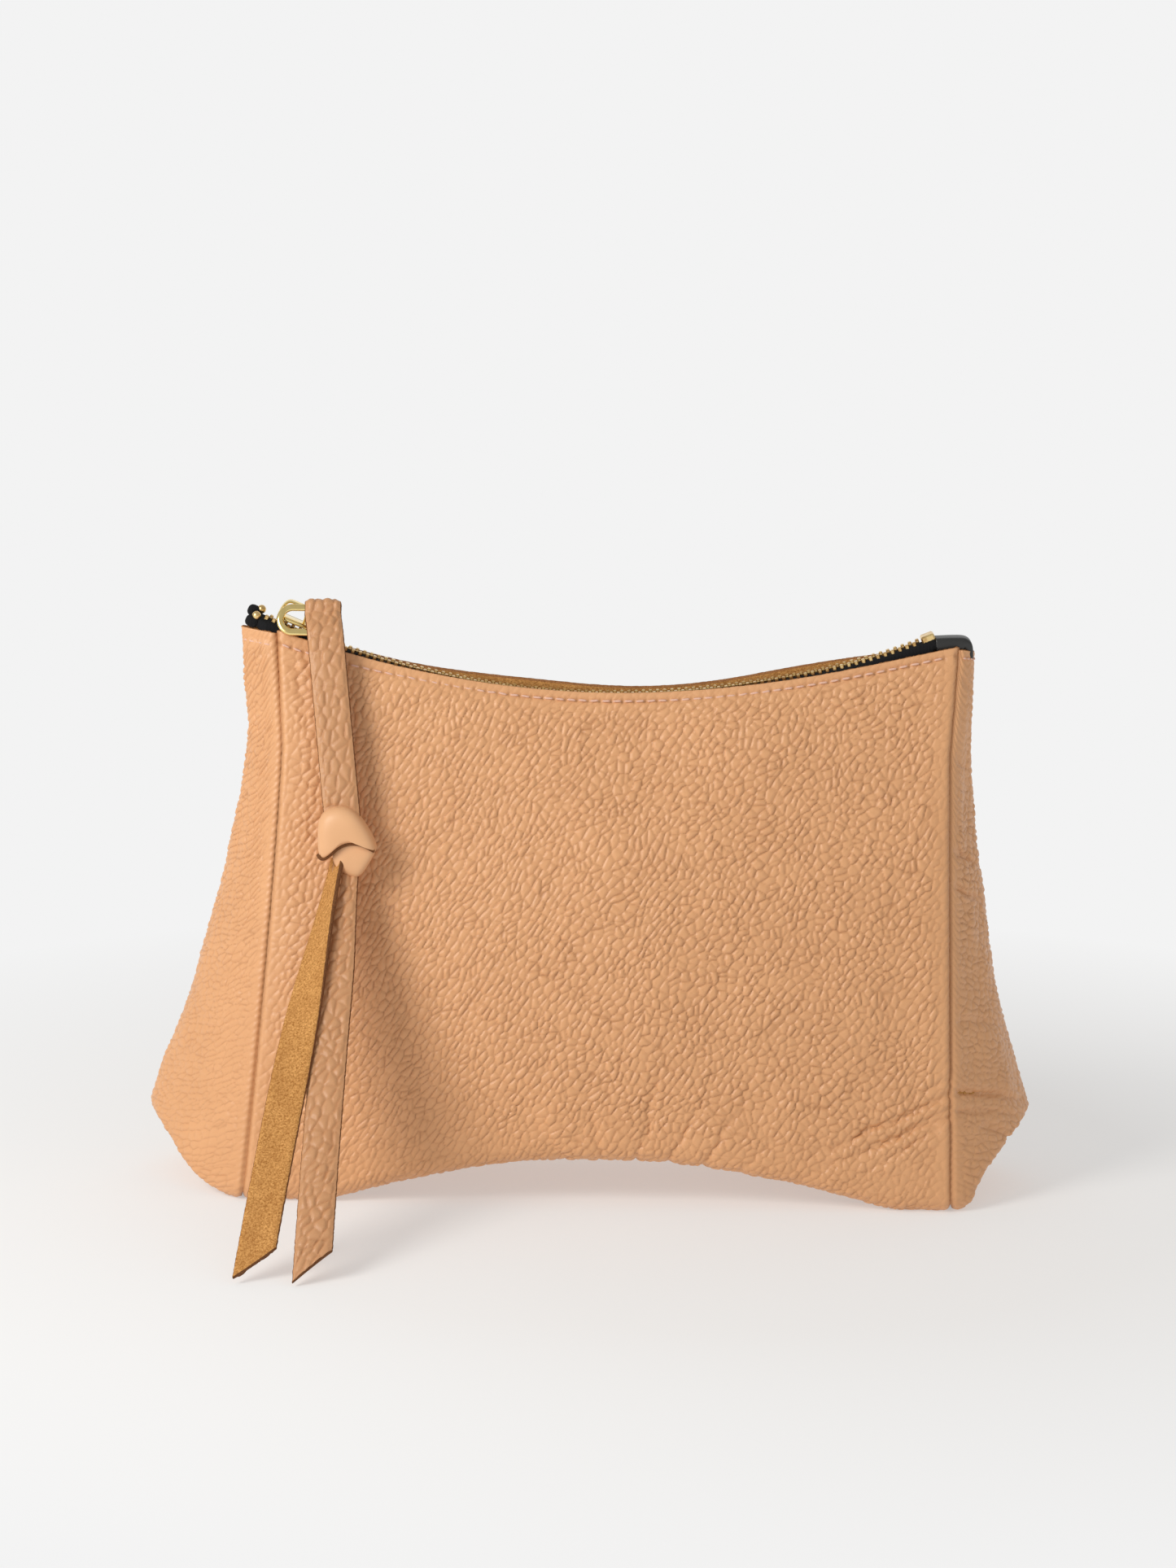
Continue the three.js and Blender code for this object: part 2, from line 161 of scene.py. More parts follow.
# ---------------------------------------------------------------- pattern helpers
def lattice(x, y, seed):
    """Smooth noise, 0 to 1, one cell per unit."""
    table = np.random.default_rng(seed).random((64, 64))
    xi, yi = np.floor(x).astype(int), np.floor(y).astype(int)
    fx, fy = x - xi, y - yi
    fx, fy = fx * fx * (3 - 2 * fx), fy * fy * (3 - 2 * fy)

    def at(i, j):
        return table[(xi + i) % 64, (yi + j) % 64]

    return lerp(lerp(at(0, 0), at(1, 0), fx), lerp(at(0, 1), at(1, 1), fx), fy)


def cells(x, y, seed, jitter=0.8):
    """Among jittered points, one per unit square: distances to the nearest two, the nearest's own
    number, and how far the line between the two cells runs along y, 0 to 1."""
    px, py, own_number = np.random.default_rng(seed).random((3, 64, 64))
    xi, yi = np.floor(x).astype(int), np.floor(y).astype(int)
    first, second, own = np.full(x.shape, 9.0), np.full(x.shape, 9.0), np.zeros(x.shape)
    place, other = np.zeros((2, *x.shape)), np.zeros((2, *x.shape))
    for i in (-1, 0, 1):
        for j in (-1, 0, 1):
            ci, cj = (xi + i) % 64, (yi + j) % 64
            dx = xi + i + 0.5 + jitter * (px[ci, cj] - 0.5) - x
            dy = yi + j + 0.5 + jitter * (py[ci, cj] - 0.5) - y
            d = np.hypot(dx, dy)
            near, next_near = d < first, (d >= first) & (d < second)
            here = np.stack([dx, dy])
            other = np.where(near, place, np.where(next_near, here, other))
            place = np.where(near, here, place)
            second = np.where(near, first, np.minimum(second, d))
            own = np.where(near, own_number[ci, cj], own)
            first = np.where(near, d, first)
    apart = place - other
    return first, second, own, np.abs(apart[0]) / np.maximum(np.hypot(*apart), 1e-6)


def pebbles(u, v, wide, tall, lean, seed, height=0.7):
    """Pebbled grain on flat leather at (u, v) mm: its height, and how far into a crease each point lies,
    which the leather's colour takes as painted shade.
    """
    u = u + 2.6 * (lattice(u / 12, v / 12, seed + 1) - 0.5)
    v = v + 2.6 * (lattice(u / 12, v / 12, seed + 2) - 0.5)
    lean = math.radians(lean)
    along = (math.cos(lean) * u + math.sin(lean) * v) / tall
    across = (-math.sin(lean) * u + math.cos(lean) * v) / wide
    first, second, own, upright = cells(across, along, seed)
    edge = np.clip((second - first + 0.09 * (1 - upright)) / 0.75, 0, 1)
    dome = 1 - (1 - edge) ** 2.1
    line = (1 - smooth(0.0, 0.3, edge)) * lerp(0.65, 1.15, upright)
    ridge = 1 - np.abs(2 * lattice(across * 0.45, along * 0.25, seed + 3) - 1)
    deep = smooth(0.95, 1.0, ridge)
    return height * (dome * (0.65 + 0.7 * own) - 0.3 * deep), np.clip(line * (0.5 + own) + 0.4 * deep, 0, 1)


# ---------------------------------------------------------------- meshes
def unit_normals(grid):
    du = np.gradient(grid, axis=1)
    dv = np.gradient(grid, axis=0)
    n = np.cross(du, dv)
    return n / np.maximum(np.linalg.norm(n, axis=2, keepdims=True), 1e-9)


def grid_quads(rows, columns, start=0, flip=False, closed=False):
    i, j = np.meshgrid(np.arange(rows - 1), np.arange(columns if closed else columns - 1), indexing="ij")
    a = start + i * columns + j
    b = start + i * columns + (j + 1) % columns
    quads = np.stack([a, b, b + columns, a + columns], axis=-1).reshape(-1, 4)
    return quads[:, ::-1] if flip else quads


def strip(a, b, flip=False):
    """Quads between two equally long lines of vertex numbers."""
    quads = np.stack([a[:-1], a[1:], b[1:], b[:-1]], axis=-1)
    return quads[:, ::-1] if flip else quads


def make(name, points, parts, values=None, angle=180):
    """A mesh from points in mm and parts, each (faces, material)."""
    mesh = bpy.data.meshes.new(name)
    faces = [list(map(int, f)) for group, _ in parts for f in group]
    mesh.from_pydata(metres(points).tolist(), [], faces)
    numbers = []
    for group, material in parts:
        if material.name not in mesh.materials:
            mesh.materials.append(material)
        numbers += [mesh.materials.find(material.name)] * len(group)
    mesh.polygons.foreach_set("material_index", numbers)
    mesh.shade_smooth()
    for key, value in (values or {}).items():
        kind = "FLOAT" if value.ndim == 1 else "FLOAT_VECTOR"
        attribute = mesh.attributes.new(key, kind, "POINT")
        attribute.data.foreach_set("value" if kind == "FLOAT" else "vector", value.astype(np.float32).ravel())
    obj = bpy.data.objects.new(name, mesh)
    bpy.context.scene.collection.objects.link(obj)
    if angle < 180:
        mesh.set_sharp_from_angle(angle=math.radians(angle))
    return obj


def shell(name, base, outer, flat, painted_shade, looks, step, sign):
    """A sheet of leather: outer skin, coarser inner skin and raw edges. Sign turns the normals outwards."""
    rows, columns = outer.shape[:2]
    picked = np.unique(np.r_[np.arange(0, rows - 1, step), rows - 1])
    normals = unit_normals(base) * sign
    inner = base[picked] - LEATHER * normals[picked]
    raw = (outer[-1] + inner[-1]) / 2 + 0.3 * (np.array([0, 0, 1]) * (outer[-1, :, 2:] > 100))
    fuzz = lattice(np.arange(columns) * 0.7, np.zeros(columns), 5)[:, None] - 0.5
    raw = raw + 0.3 * fuzz * np.array([0, 0, 1])
    points = np.concatenate([outer.reshape(-1, 3), inner.reshape(-1, 3), raw])
    points[:, 2] = np.maximum(points[:, 2], 0.05)
    count = rows * columns
    numbers = np.arange(count).reshape(rows, columns)
    inside = count + np.arange(len(picked) * columns).reshape(len(picked), columns)
    middle = count + inside.size + np.arange(columns)
    turn = sign < 0
    skin = grid_quads(rows, columns, 0, turn)
    lining = grid_quads(len(picked), columns, count, not turn)
    edge = np.concatenate([
        strip(numbers[-1], middle, turn),
        strip(middle, inside[-1], turn),
        strip(numbers[0], inside[0], not turn),
    ])
    sides = []
    for column, flip in ((0, turn), (columns - 1, not turn)):
        for k in range(len(picked) - 1):
            ring = [*numbers[picked[k]:picked[k + 1] + 1, column], inside[k + 1, column], inside[k, column]]
            if k == len(picked) - 2:
                ring.insert(-2, middle[column])
            sides.append(ring[::-1] if not flip else ring)
    total = len(points)
    flats = np.zeros((total, 3))
    flats[:count, :2] = flat.reshape(-1, 2)
    flats[count:] = np.concatenate([inner.reshape(-1, 3), raw])
    # painted shade per point of the outer skin, kept as a point attribute for the leather material
    painted_shades = np.zeros(total)
    painted_shades[:count] = painted_shade.ravel()
    parts = [(skin, looks["skin"]), (lining, looks["suede"]), (edge, looks["edge"]), (sides, looks["edge"])]
    return make(name, points, parts, {"flat": flats, "painted_shade": painted_shades})


# ---------------------------------------------------------------- materials
def material(name, color, roughness, metallic=0.0, specular=0.5):
    mat = bpy.data.materials.new(name)
    mat.use_nodes = True
    shader = mat.node_tree.nodes["Principled BSDF"]
    shader.inputs["Base Color"].default_value = (*color, 1)
    shader.inputs["Roughness"].default_value = roughness
    shader.inputs["Metallic"].default_value = metallic
    shader.inputs["Specular IOR Level"].default_value = specular
    return mat


def node(mat, kind, **values):
    made = mat.node_tree.nodes.new(kind)
    for key, value in values.items():
        if key in made.inputs:
            made.inputs[key].default_value = value
        else:
            setattr(made, key, value)
    return made


def link(mat, a, b):
    mat.node_tree.links.new(a, b)


def attribute(mat, name):
    return node(mat, "ShaderNodeAttribute", attribute_name=name)


def noise(mat, vector, scale, detail=2.0, roughness=0.5):
    made = node(mat, "ShaderNodeTexNoise", Scale=scale, Detail=detail, Roughness=roughness)
    link(mat, vector, made.inputs["Vector"])
    return made.outputs["Fac"]


def mixed(mat, factor, a, b):
    """Colour b over colour a by a factor; each is a colour or a socket."""
    mix = node(mat, "ShaderNodeMix", data_type="RGBA")
    for value, socket in ((factor, mix.inputs[0]), (a, mix.inputs[6]), (b, mix.inputs[7])):
        if isinstance(value, bpy.types.NodeSocket):
            link(mat, value, socket)
        else:
            socket.default_value = (*value, 1) if isinstance(value, tuple) else value
    return mix.outputs[2]


def remap(mat, value, low, high, to_low, to_high):
    made = node(mat, "ShaderNodeMapRange", clamp=True)
    link(mat, value, made.inputs["Value"])
    for key, number in (("From Min", low), ("From Max", high), ("To Min", to_low), ("To Max", to_high)):
        made.inputs[key].default_value = number
    return made.outputs["Result"]


def bump(mat, height, strength, distance):
    made = node(mat, "ShaderNodeBump", Strength=strength, Distance=distance)
    link(mat, height, made.inputs["Height"])
    link(mat, made.outputs["Normal"], mat.node_tree.nodes["Principled BSDF"].inputs["Normal"])


def colour(mat, socket):
    link(mat, socket, mat.node_tree.nodes["Principled BSDF"].inputs["Base Color"])


def leather_material(name, color, deep, roughness, grain):
    """Tan leather, slightly uneven in tone, with fine pores; painted shade darkens its colour towards the
    deep tan in the grain's creases, needle holes and seam grooves.
    """
    mat = material(name, color, roughness, specular=0.38)
    flat = attribute(mat, "flat").outputs["Vector"]
    uneven = remap(mat, noise(mat, flat, 0.05, 3), 0.3, 0.7, 0.0, 0.16)
    base = mixed(mat, uneven, color, deep)
    # painted shade: the point attribute darkens the colour in creases, needle holes and seam grooves
    painted_shade = remap(mat, attribute(mat, "painted_shade").outputs["Fac"], 0, 1, 0, 0.9)
    colour(mat, mixed(mat, painted_shade, base, deep))
    bump(mat, noise(mat, flat, 2.2, 3, 0.6), grain, 0.0002)
    return mat


def suede_material(name, light, dark, scale=1.6):
    mat = material(name, light, 0.95, specular=0.15)
    place = node(mat, "ShaderNodeTexCoord").outputs["Object"]
    speckle = noise(mat, place, scale * 1000, 4, 0.75)
    patch = noise(mat, place, scale * 90, 3, 0.6)
    mottled = mixed(mat, remap(mat, speckle, 0.36, 0.62, 0, 1), dark, light)
    colour(mat, mixed(mat, remap(mat, patch, 0.35, 0.7, 0.35, 0.0), mottled, dark))
    bump(mat, speckle, 0.6, 0.0005)
    return mat


def tape_material():
    mat = material("zip_tape_black", (0.012, 0.012, 0.013), 0.9, specular=0.2)
    place = node(mat, "ShaderNodeTexCoord").outputs["Object"]
    wave = node(mat, "ShaderNodeTexWave", Scale=900.0, Distortion=0.3, bands_direction="X")
    link(mat, place, wave.inputs["Vector"])
    bump(mat, wave.outputs["Fac"], 0.7, 0.0002)
    return mat


def metal_material(name, color, roughness, tarnish):
    """Metal with a slightly uneven, tarnished colour."""
    mat = material(name, color, roughness, metallic=1.0)
    place = node(mat, "ShaderNodeTexCoord").outputs["Object"]
    patch = remap(mat, noise(mat, place, 400.0, 3), 0.4, 0.7, 0.0, 1.0)
    colour(mat, mixed(mat, patch, color, tarnish))
    return mat


TAN = (0.74, 0.386, 0.182)
# The darker tan serves both the leather's random uneven tone and the painted shade in its creases, holes and
# seams
TAN_DARK_TONE_AND_SHADE = (0.47, 0.215, 0.09)
LEATHER_MAT = leather_material("leather_pebbled", TAN, TAN_DARK_TONE_AND_SHADE, 0.37, 0.3)
STRAP_MAT = leather_material("leather_strap", (0.57, 0.292, 0.137), TAN_DARK_TONE_AND_SHADE, 0.4, 0.3)
KNOT_MAT = leather_material("leather_knot", (0.77, 0.43, 0.22), TAN_DARK_TONE_AND_SHADE, 0.42, 0.1)
SUEDE_MAT = suede_material("suede", (0.80, 0.42, 0.14), (0.34, 0.135, 0.03))
EDGE_MAT = suede_material("raw_edge", (0.50, 0.235, 0.095), (0.24, 0.095, 0.03), 2.4)
DARK_EDGE_MAT = suede_material("strap_edge", (0.30, 0.13, 0.05), (0.13, 0.05, 0.02), 2.4)
THREAD_MAT = material("thread_pink", (0.76, 0.47, 0.35), 0.7, specular=0.3)
TAPE_MAT = tape_material()
TAB_MAT = material("tab_black", (0.022, 0.022, 0.021), 0.42, specular=0.5)
BRASS_MAT = metal_material("brass_teeth", (0.90, 0.66, 0.30), 0.28, (0.60, 0.36, 0.13))
GOLD_MAT = metal_material("gold_slider", (0.94, 0.74, 0.32), 0.14, (0.88, 0.66, 0.25))
LOOKS = {"skin": LEATHER_MAT, "suede": SUEDE_MAT, "edge": EDGE_MAT}


# ---------------------------------------------------------------- leather body
# Folds pressed into the front wall: (x, z) of each end, depth and half width
FRONT_FOLDS = [
    ((118, 45), (90, 32), 0.7, 1.2), ((118, 41), (66, 15), 1.3, 1.5), ((118, 37), (84, 17), 0.9, 1.1),
    ((117, 33), (58, 8), 1.1, 1.4), ((112, 28), (80, 9), 0.8, 1.1), ((101, 31), (72, 20), 0.5, 1.0),
    ((2, 17), (-7, 47), 0.6, 1.4), ((13, 16), (21, 52), 0.8, 1.2), ((24, 15), (38, 44), 0.7, 1.3),
    ((-12, 17), (-32, 42), 0.5, 1.5), ((36, 14), (52, 46), 0.8, 1.2), ((47, 13), (70, 36), 0.5, 1.5),
    ((-104, 176), (-99, 156), 0.5, 1.6), ((-101, 178), (-94, 163), 0.35, 1.5),
]
# Folds of the right gusset: (share of its half depth, z) of each end, depth and half width
RIGHT_GUSSET_FOLDS = [
    ((-0.98, 176), (-0.4, 170), 0.8, 1.2), ((-0.98, 150), (-0.3, 144), 0.7, 1.3),
    ((-0.97, 119), (-0.1, 110), 1.4, 1.4), ((-0.95, 108), (-0.2, 98), 1.1, 1.2),
    ((-0.98, 39), (-0.1, 31), 1.7, 1.5), ((-0.97, 33), (-0.3, 27), 1.1, 1.1),
    ((-0.9, 63), (-0.2, 57), 0.7, 1.8), ((-0.7, 26), (-0.2, 14), 1.0, 1.4),
]


def fold_depth(x, z, folds, scale=1.0):
    """How far a surface is pressed in at (x, z) by folds that fade towards their second end."""
    total = np.zeros(np.broadcast(x, z).shape)
    x = x + 2.4 * (lattice(x / 9, z / 9, 71) - 0.5) / scale
    z = z + 2.4 * (lattice(x * scale / 9, z / 9, 72) - 0.5)
    for (x0, z0), (x1, z1), depth, half in folds:
        dx, dz = (x1 - x0) * scale, z1 - z0
        px, pz = (x - x0) * scale, z - z0
        t = (px * dx + pz * dz) / (dx * dx + dz * dz)
        away = np.hypot(px - np.clip(t, 0, 1) * dx, pz - np.clip(t, 0, 1) * dz)
        total += depth * (1 - 0.75 * smooth(0.2, 1.0, t)) * np.exp(-((away / half) ** 2))
    return total


def seam_inset(distance):
    """How far leather turns in, a distance from its seam."""
    return SEAM_ROLL - np.sqrt(SEAM_ROLL**2 - np.clip(SEAM_ROLL - distance, 0, SEAM_ROLL) ** 2)


def arc_lengths(grid, axis):
    step = np.linalg.norm(np.diff(grid, axis=axis), axis=2)
    shape = list(step.shape)
    shape[axis] = 1
    return np.concatenate([np.zeros(shape), np.cumsum(step, axis=axis)], axis=axis)


def panel_base(side, fine):
    """The plain surface of a wall, from its turned-under edge up to the rim."""
    columns = int(236 / fine)
    across = np.linspace(0, 1, columns)[None, :]
    under = np.linspace(ROLL_INNER, BASE_HALF - ROLL, int(7 / fine) + 2)[:-1, None]
    turn = np.linspace(0, math.pi / 2, int(9.4 / fine) + 2)[:-1, None]
    w = np.linspace(0, 1, int(168 / fine))[:, None]
    x = lerp(-115.0, 115.0, across) + 0 * np.concatenate([under, turn, w])
    for _ in range(4):
        rim, arch = (rim_z if side < 0 else back_rim_z)(x), arch_z(x)
        u, t, v = len(under), len(under) + len(turn), slice(len(under) + len(turn), None)
        z = arch.copy()
        z[u:t] += ROLL * (1 - np.cos(turn))
        z[v] = arch[v] + ROLL + (rim[v] - arch[v] - ROLL) * w
        x = lerp(-seam_x(z, -1), seam_x(z, 1), across)
    depth = np.empty_like(x)
    depth[:u] = under
    depth[u:t] = BASE_HALF - ROLL + ROLL * np.sin(turn)
    depth[v] = wall_depth(w, x[v], side)
    grid = np.stack([x, side * depth, z], axis=-1)
    return grid, np.concatenate([0 * under, 0 * turn, w])


def panel(side):
    """The front or the back wall of the pouch."""
    fine = FINE if side < 0 else FINE * 1.5
    grid, w = panel_base(side, fine)
    x, z = grid[..., 0], grid[..., 2]
    sign = 1 if side < 0 else -1
    away = np.minimum(x + seam_x(z, -1), seam_x(z, 1) - x)
    press = seam_inset(away)
    sag = 1.6 * (lattice(x / 46 + 3, z / 40, 31) - 0.5) + 0.7 * (lattice(x / 17, z / 21, 32) - 0.5)
    low = smooth(75, 15, z) * (w > 0)
    sag = sag + low * 1.1 * (lattice(x / 11 - z / 40, z / 19, 33) - 0.5)
    if side < 0:
        press = press + fold_depth(x, z, FRONT_FOLDS)
    below_rim = (rim_z if side < 0 else back_rim_z)(x) - z
    free = smooth(0, 14, away) * smooth(0, 25, below_rim + 12)
    grid = grid + unit_normals(grid) * sign * (sag * free - press)[..., None]
    flat = np.stack([x * side * -1, arc_lengths(grid, 0)], axis=-1)
    height, crease = pebbles(flat[..., 0], flat[..., 1], 2.4, 3.4, 54, 11 + side)
    faint = 0.25 + 0.75 * smooth(0.5, 9, away) * smooth(1.5, 8, below_rim)
    faint = faint * lerp(0.9, 1, smooth(-105, -60, x)) * (0.65 + 0.35 * smooth(8, 40, z))
    stitched = np.exp(-(((below_rim - stitch_drop(x)) / 0.8) ** 2)) * (w > 0.8)
    hole = stitched * np.exp(-((((x / STITCH_PITCH) % 1 - 0.5) * STITCH_PITCH / 0.45) ** 2))
    out = height * faint - 0.22 * stitched - 0.35 * hole
    outer = grid + unit_normals(grid) * sign * out[..., None]
    # painted shade: darker colour in the grain's creases, in the needle holes and in the groove along each
    # seam
    painted_shade = np.clip(0.95 * crease * faint + 0.9 * hole + 0.9 * smooth(1.3, 0.1, away), 0, 1)
    name = "front_wall" if side < 0 else "back_wall_leather"
    return shell(name, grid, outer, flat, painted_shade, LOOKS, int(7 / fine), sign)


def gusset(side):
    """A side of the pouch, folded outwards over a soft ridge and under at the foot."""
    fine = FINE * 1.1
    columns = int(92 / fine)
    q = np.linspace(-1, 1, columns)[None, :]
    trace = np.linspace(0, 1, 400) ** 2 * 186
    line = np.minimum(ridge_x(trace, side), facet_x(trace, side))
    length = np.r_[0, np.cumsum(np.hypot(np.diff(line), np.diff(trace)))]
    level = np.interp(np.linspace(0, length[-1], int(length[-1] / fine)), length, trace)[:, None]
    top_seam, top_ridge = GUSSET_TOP[side]
    top = lerp(top_ridge, top_seam, np.abs(q) ** 1.5)
    z = level + (top - 186) * (level / 186) ** 4
    seam = seam_x(z, side) + 0.5
    out = seam + (ridge_x(z, side) - seam) * (1 - np.abs(q) ** 1.55)
    foot = facet_x(z, side)
    soft = 1.2
    x = (out + foot - np.sqrt((out - foot) ** 2 + soft**2)) / 2
    x = np.maximum(x, seam - 0.4)
    roll_end = arch_z(side * seam) + ROLL
    share = np.clip((z - roll_end) / (rim_z(side * seam) - roll_end), 0, 1)
    round_foot = BASE_HALF - ROLL + np.sqrt(ROLL**2 - np.clip(ROLL - z, 0, ROLL) ** 2)
    depth = np.minimum(lerp(BASE_HALF, RIM_HALF, share), round_foot)
    grid = np.stack([side * x, q * depth, z], axis=-1)
    sign = -1 if side < 0 else 1
    run = arc_lengths(grid, 1)
    away = np.minimum(run, run[:, -1:] - run)
    press = seam_inset(away)
    sag = 1.6 * (lattice(q * 2.2 + 7, z / 34, 41 + side) - 0.5)
    sag = sag + 0.9 * (lattice(q * 5 + 3, z / 13, 46 + side) - 0.5)
    sag = sag * smooth(0, 12, away) * smooth(0, 30, 186 - z)
    if side > 0:
        press = press + fold_depth(q, z, RIGHT_GUSSET_FOLDS, 30.0) * smooth(0, 5, away)
    grid = grid + unit_normals(grid) * sign * (sag - press)[..., None]
    flat = np.stack([run * -side, arc_lengths(grid, 0)], axis=-1)
    height, crease = pebbles(flat[..., 0], flat[..., 1], 2.3, 3.7, 5, 21 + side)
    ripple = 0.12 * np.sin(flat[..., 1] * 2.4 + 3 * lattice(flat[..., 0] / 6, flat[..., 1] / 9, 44))
    faint = (0.55 + 0.4 * smooth(25, 150, z)) * smooth(0.3, 6, away) * smooth(0, 8, top - z)
    faint = faint * (1 if side < 0 else lerp(1, 0.35, smooth(110, 160, z)))
    stitched = np.exp(-(((top - z - STITCH_DROP) / 0.8) ** 2))
    lift = height * faint + ripple * (1 - faint) - 0.2 * stitched
    outer = grid + unit_normals(grid) * sign * lift[..., None]
    # painted shade: darker colour in the grain's creases and in the groove along each seam
    painted_shade = np.clip(0.9 * crease * faint + 0.9 * smooth(1.3, 0.1, away), 0, 1)
    name = "left_side" if side < 0 else "right_side"
    return shell(name, grid, outer, flat, painted_shade, LOOKS, int(7 / fine), sign)


def base():
    """The arched strip of leather that the pouch stands on."""
    x = np.linspace(-116.5, 116.5, 180)[None, :]
    y = np.linspace(-ROLL_INNER + 0.5, ROLL_INNER - 0.5, 44)[:, None]
    z = arch_z(x) + 0.9 * (y / ROLL_INNER) ** 8 + 0.4
    grid = np.stack(np.broadcast_arrays(x, y, z), axis=-1)
    flat = grid[..., :2].copy()
    height, crease = pebbles(flat[..., 0], flat[..., 1], 3.6, 5.0, 58, 51)
    outer = grid - np.array([0, 0, 1]) * (0.6 * height[..., None] - 0.2)
    # painted shade in the base's grain creases, at 0.6 strength
    return shell("base", grid, outer, flat, 0.6 * crease, LOOKS, 6, -1)


front, back = panel(-1), panel(1)
left, right = gusset(-1), gusset(1)
bottom = base()


# ---------------------------------------------------------------- topstitching
def surface_y(x, z, side):
    """Where the plain wall's outer skin lies near the rim."""
    arch = arch_z(x)
    w = (z - arch - ROLL) / (rim_z(x) - arch - ROLL)
    return side * wall_depth(w, x, side)


def capsules(centres, tangents, normals, length, width, thick, rings=7, around=8):
    """One low, round-ended bar per centre."""
    points, faces = [], []
    t = np.linspace(-1, 1, rings)
    a = np.linspace(0, 2 * math.pi, around, endpoint=False)
    girth = (1 - np.abs(t) ** 3.5) ** 0.5 * 0.97 + 0.03
    for centre, tangent, normal in zip(centres, tangents, normals):
        side = np.cross(tangent, normal)
        section = width / 2 * np.cos(a)[:, None] * side + thick / 2 * np.sin(a)[:, None] * normal
        ring = [centre + tangent * length / 2 * p + r * section for p, r in zip(t, girth)]
        start = len(points)
        points += [p for line in ring for p in line]
        faces += list(grid_quads(rings, around, start, closed=True))
        last = start + (rings - 1) * around
        faces += [np.arange(start, start + around)[::-1], np.arange(last, last + around)]
    return points, faces


def gusset_top(side, q):
    """Points along the top of a gusset, under its edge, at shares q of its half depth."""
    top_seam, top_ridge = GUSSET_TOP[side]
    z = lerp(top_ridge, top_seam, np.abs(q) ** 1.5) - stitch_drop(side * 112)
    seam = seam_x(z, side) + 0.5
    x = seam + (ridge_x(z, side) - seam) * (1 - np.abs(q) ** 1.55)
    return np.stack([side * (x + 0.15), q * (RIM_HALF + 0.7), z], axis=1)


def stitches(name, side):
    """The row of stitches along a wall, just under its rim."""
    first = round(-106 / STITCH_PITCH) * STITCH_PITCH
    x = np.arange(first, 115, STITCH_PITCH)
    x = x[x < seam_x(182.0, 1) - 3.5]
    z = (rim_z if side < 0 else back_rim_z)(x) - stitch_drop(x)
    y = surface_y(x, z, side) + side * 0.2
    slope = rim_z(x + 0.5) - rim_z(x - 0.5)
    jitter = np.random.default_rng(8).normal(0, 0.05, (len(x), 2))
    tangents = np.stack([np.ones_like(x), 0 * x, slope + jitter[:, 0]], axis=1)
    tangents /= np.linalg.norm(tangents, axis=1, keepdims=True)
    centres = np.stack([x + jitter[:, 1], y, z], axis=1)
    normals = [np.array([0, side * 0.985, 0.17])] * len(x)
    points, faces = capsules(centres, tangents, normals, STITCH_PITCH * 0.76, THREAD_WIDE, THREAD_HIGH)
    for end in (-1, 1):
        line = gusset_top(end, side * np.linspace(0.9, 0.05, 40))
        picks, _ = even(line, 5)
        ways = picks[1:] - picks[:-1]
        ways /= np.linalg.norm(ways, axis=1, keepdims=True)
        out = np.cross(ways, np.array([0, 0, 1.0]))
        out *= np.sign(out[:, :1] * end)
        length = np.linalg.norm(picks[1] - picks[0]) * 0.8
        more = capsules((picks[1:] + picks[:-1]) / 2, ways, out, length, THREAD_WIDE, THREAD_HIGH)
        points, faces = merged([(np.array(points), faces), (np.array(more[0]), more[1])])
    return make(name, points, [(faces, THREAD_MAT)])


# ---------------------------------------------------------------- zip
def zip_z(x):
    return ZIP_Z + arc_rise(x, ZIP_RADIUS) - 0.8 * smooth(50, 95, x)


def ribbon(name, centre, across, outward, outline, looks):
    """Sweeps a closed outline, (sideways, outwards) in mm, along a line of centres."""
    outline = np.asarray(outline)
    if outline.ndim == 2:
        outline = np.broadcast_to(outline, (len(centre), *outline.shape))
    points = centre[:, None] + outline[..., :1] * across[:, None] + outline[..., 1:] * outward[:, None]
    rows, columns = points.shape[:2]
    faces = list(grid_quads(rows, columns, closed=True))
    faces += [np.arange(columns)[::-1], np.arange((rows - 1) * columns, rows * columns)]
    return make(name, points.reshape(-1, 3), [(faces, looks)])


def tape(name, side, x_from, x_to):
    """Ribbed tape standing up from inside the rim and curving in to the teeth."""
    x = np.arange(x_from, x_to, 0.5)
    outside = [(4.3, -11), (4.25, -5), (4.2, -2.2), (3.9, -0.8), (3.2, -0.1), (2.3, 0.1), (1.6, 0.35)]
    inside = [
        (1.3, 0), (1.6, -0.35), (2.3, -0.45), (3.0, -0.65), (3.4, -1.1), (3.65, -2.4), (3.7, -5), (3.75, -11),
    ]
    outline = np.array(outside + inside)
    rib = 0.1 * np.sin(x * 2 * math.pi / 1.2)
    tilt = np.arcsin(x / ZIP_RADIUS)
    centre = np.stack([x, 0 * x, zip_z(x)], axis=1)
    across = np.stack([0 * x, side + 0 * x, 0 * x], axis=1)
    up = np.stack([-np.sin(tilt), 0 * x, np.cos(tilt)], axis=1)
    ribbed = np.r_[np.ones(len(outside)), np.zeros(len(inside))]
    hem = lerp(0.34, 1, smooth(-115, -107, x)) * lerp(1, 0.3, smooth(103, 108, x))
    narrow = lerp(0.34, 1, smooth(-118.5, -112.0, x))[:, None]
    hanging = outline[None, :, 1:] < -1.5
    sections = outline[None] * np.where(hanging, hem[:, None, None], 1) ** np.array([0, 1])
    sections = sections + 0.7 * (rib[:, None] * ribbed)[..., None]
    sections[..., 0] *= narrow
    return ribbon(name, centre, across, up, sections, TAPE_MAT)


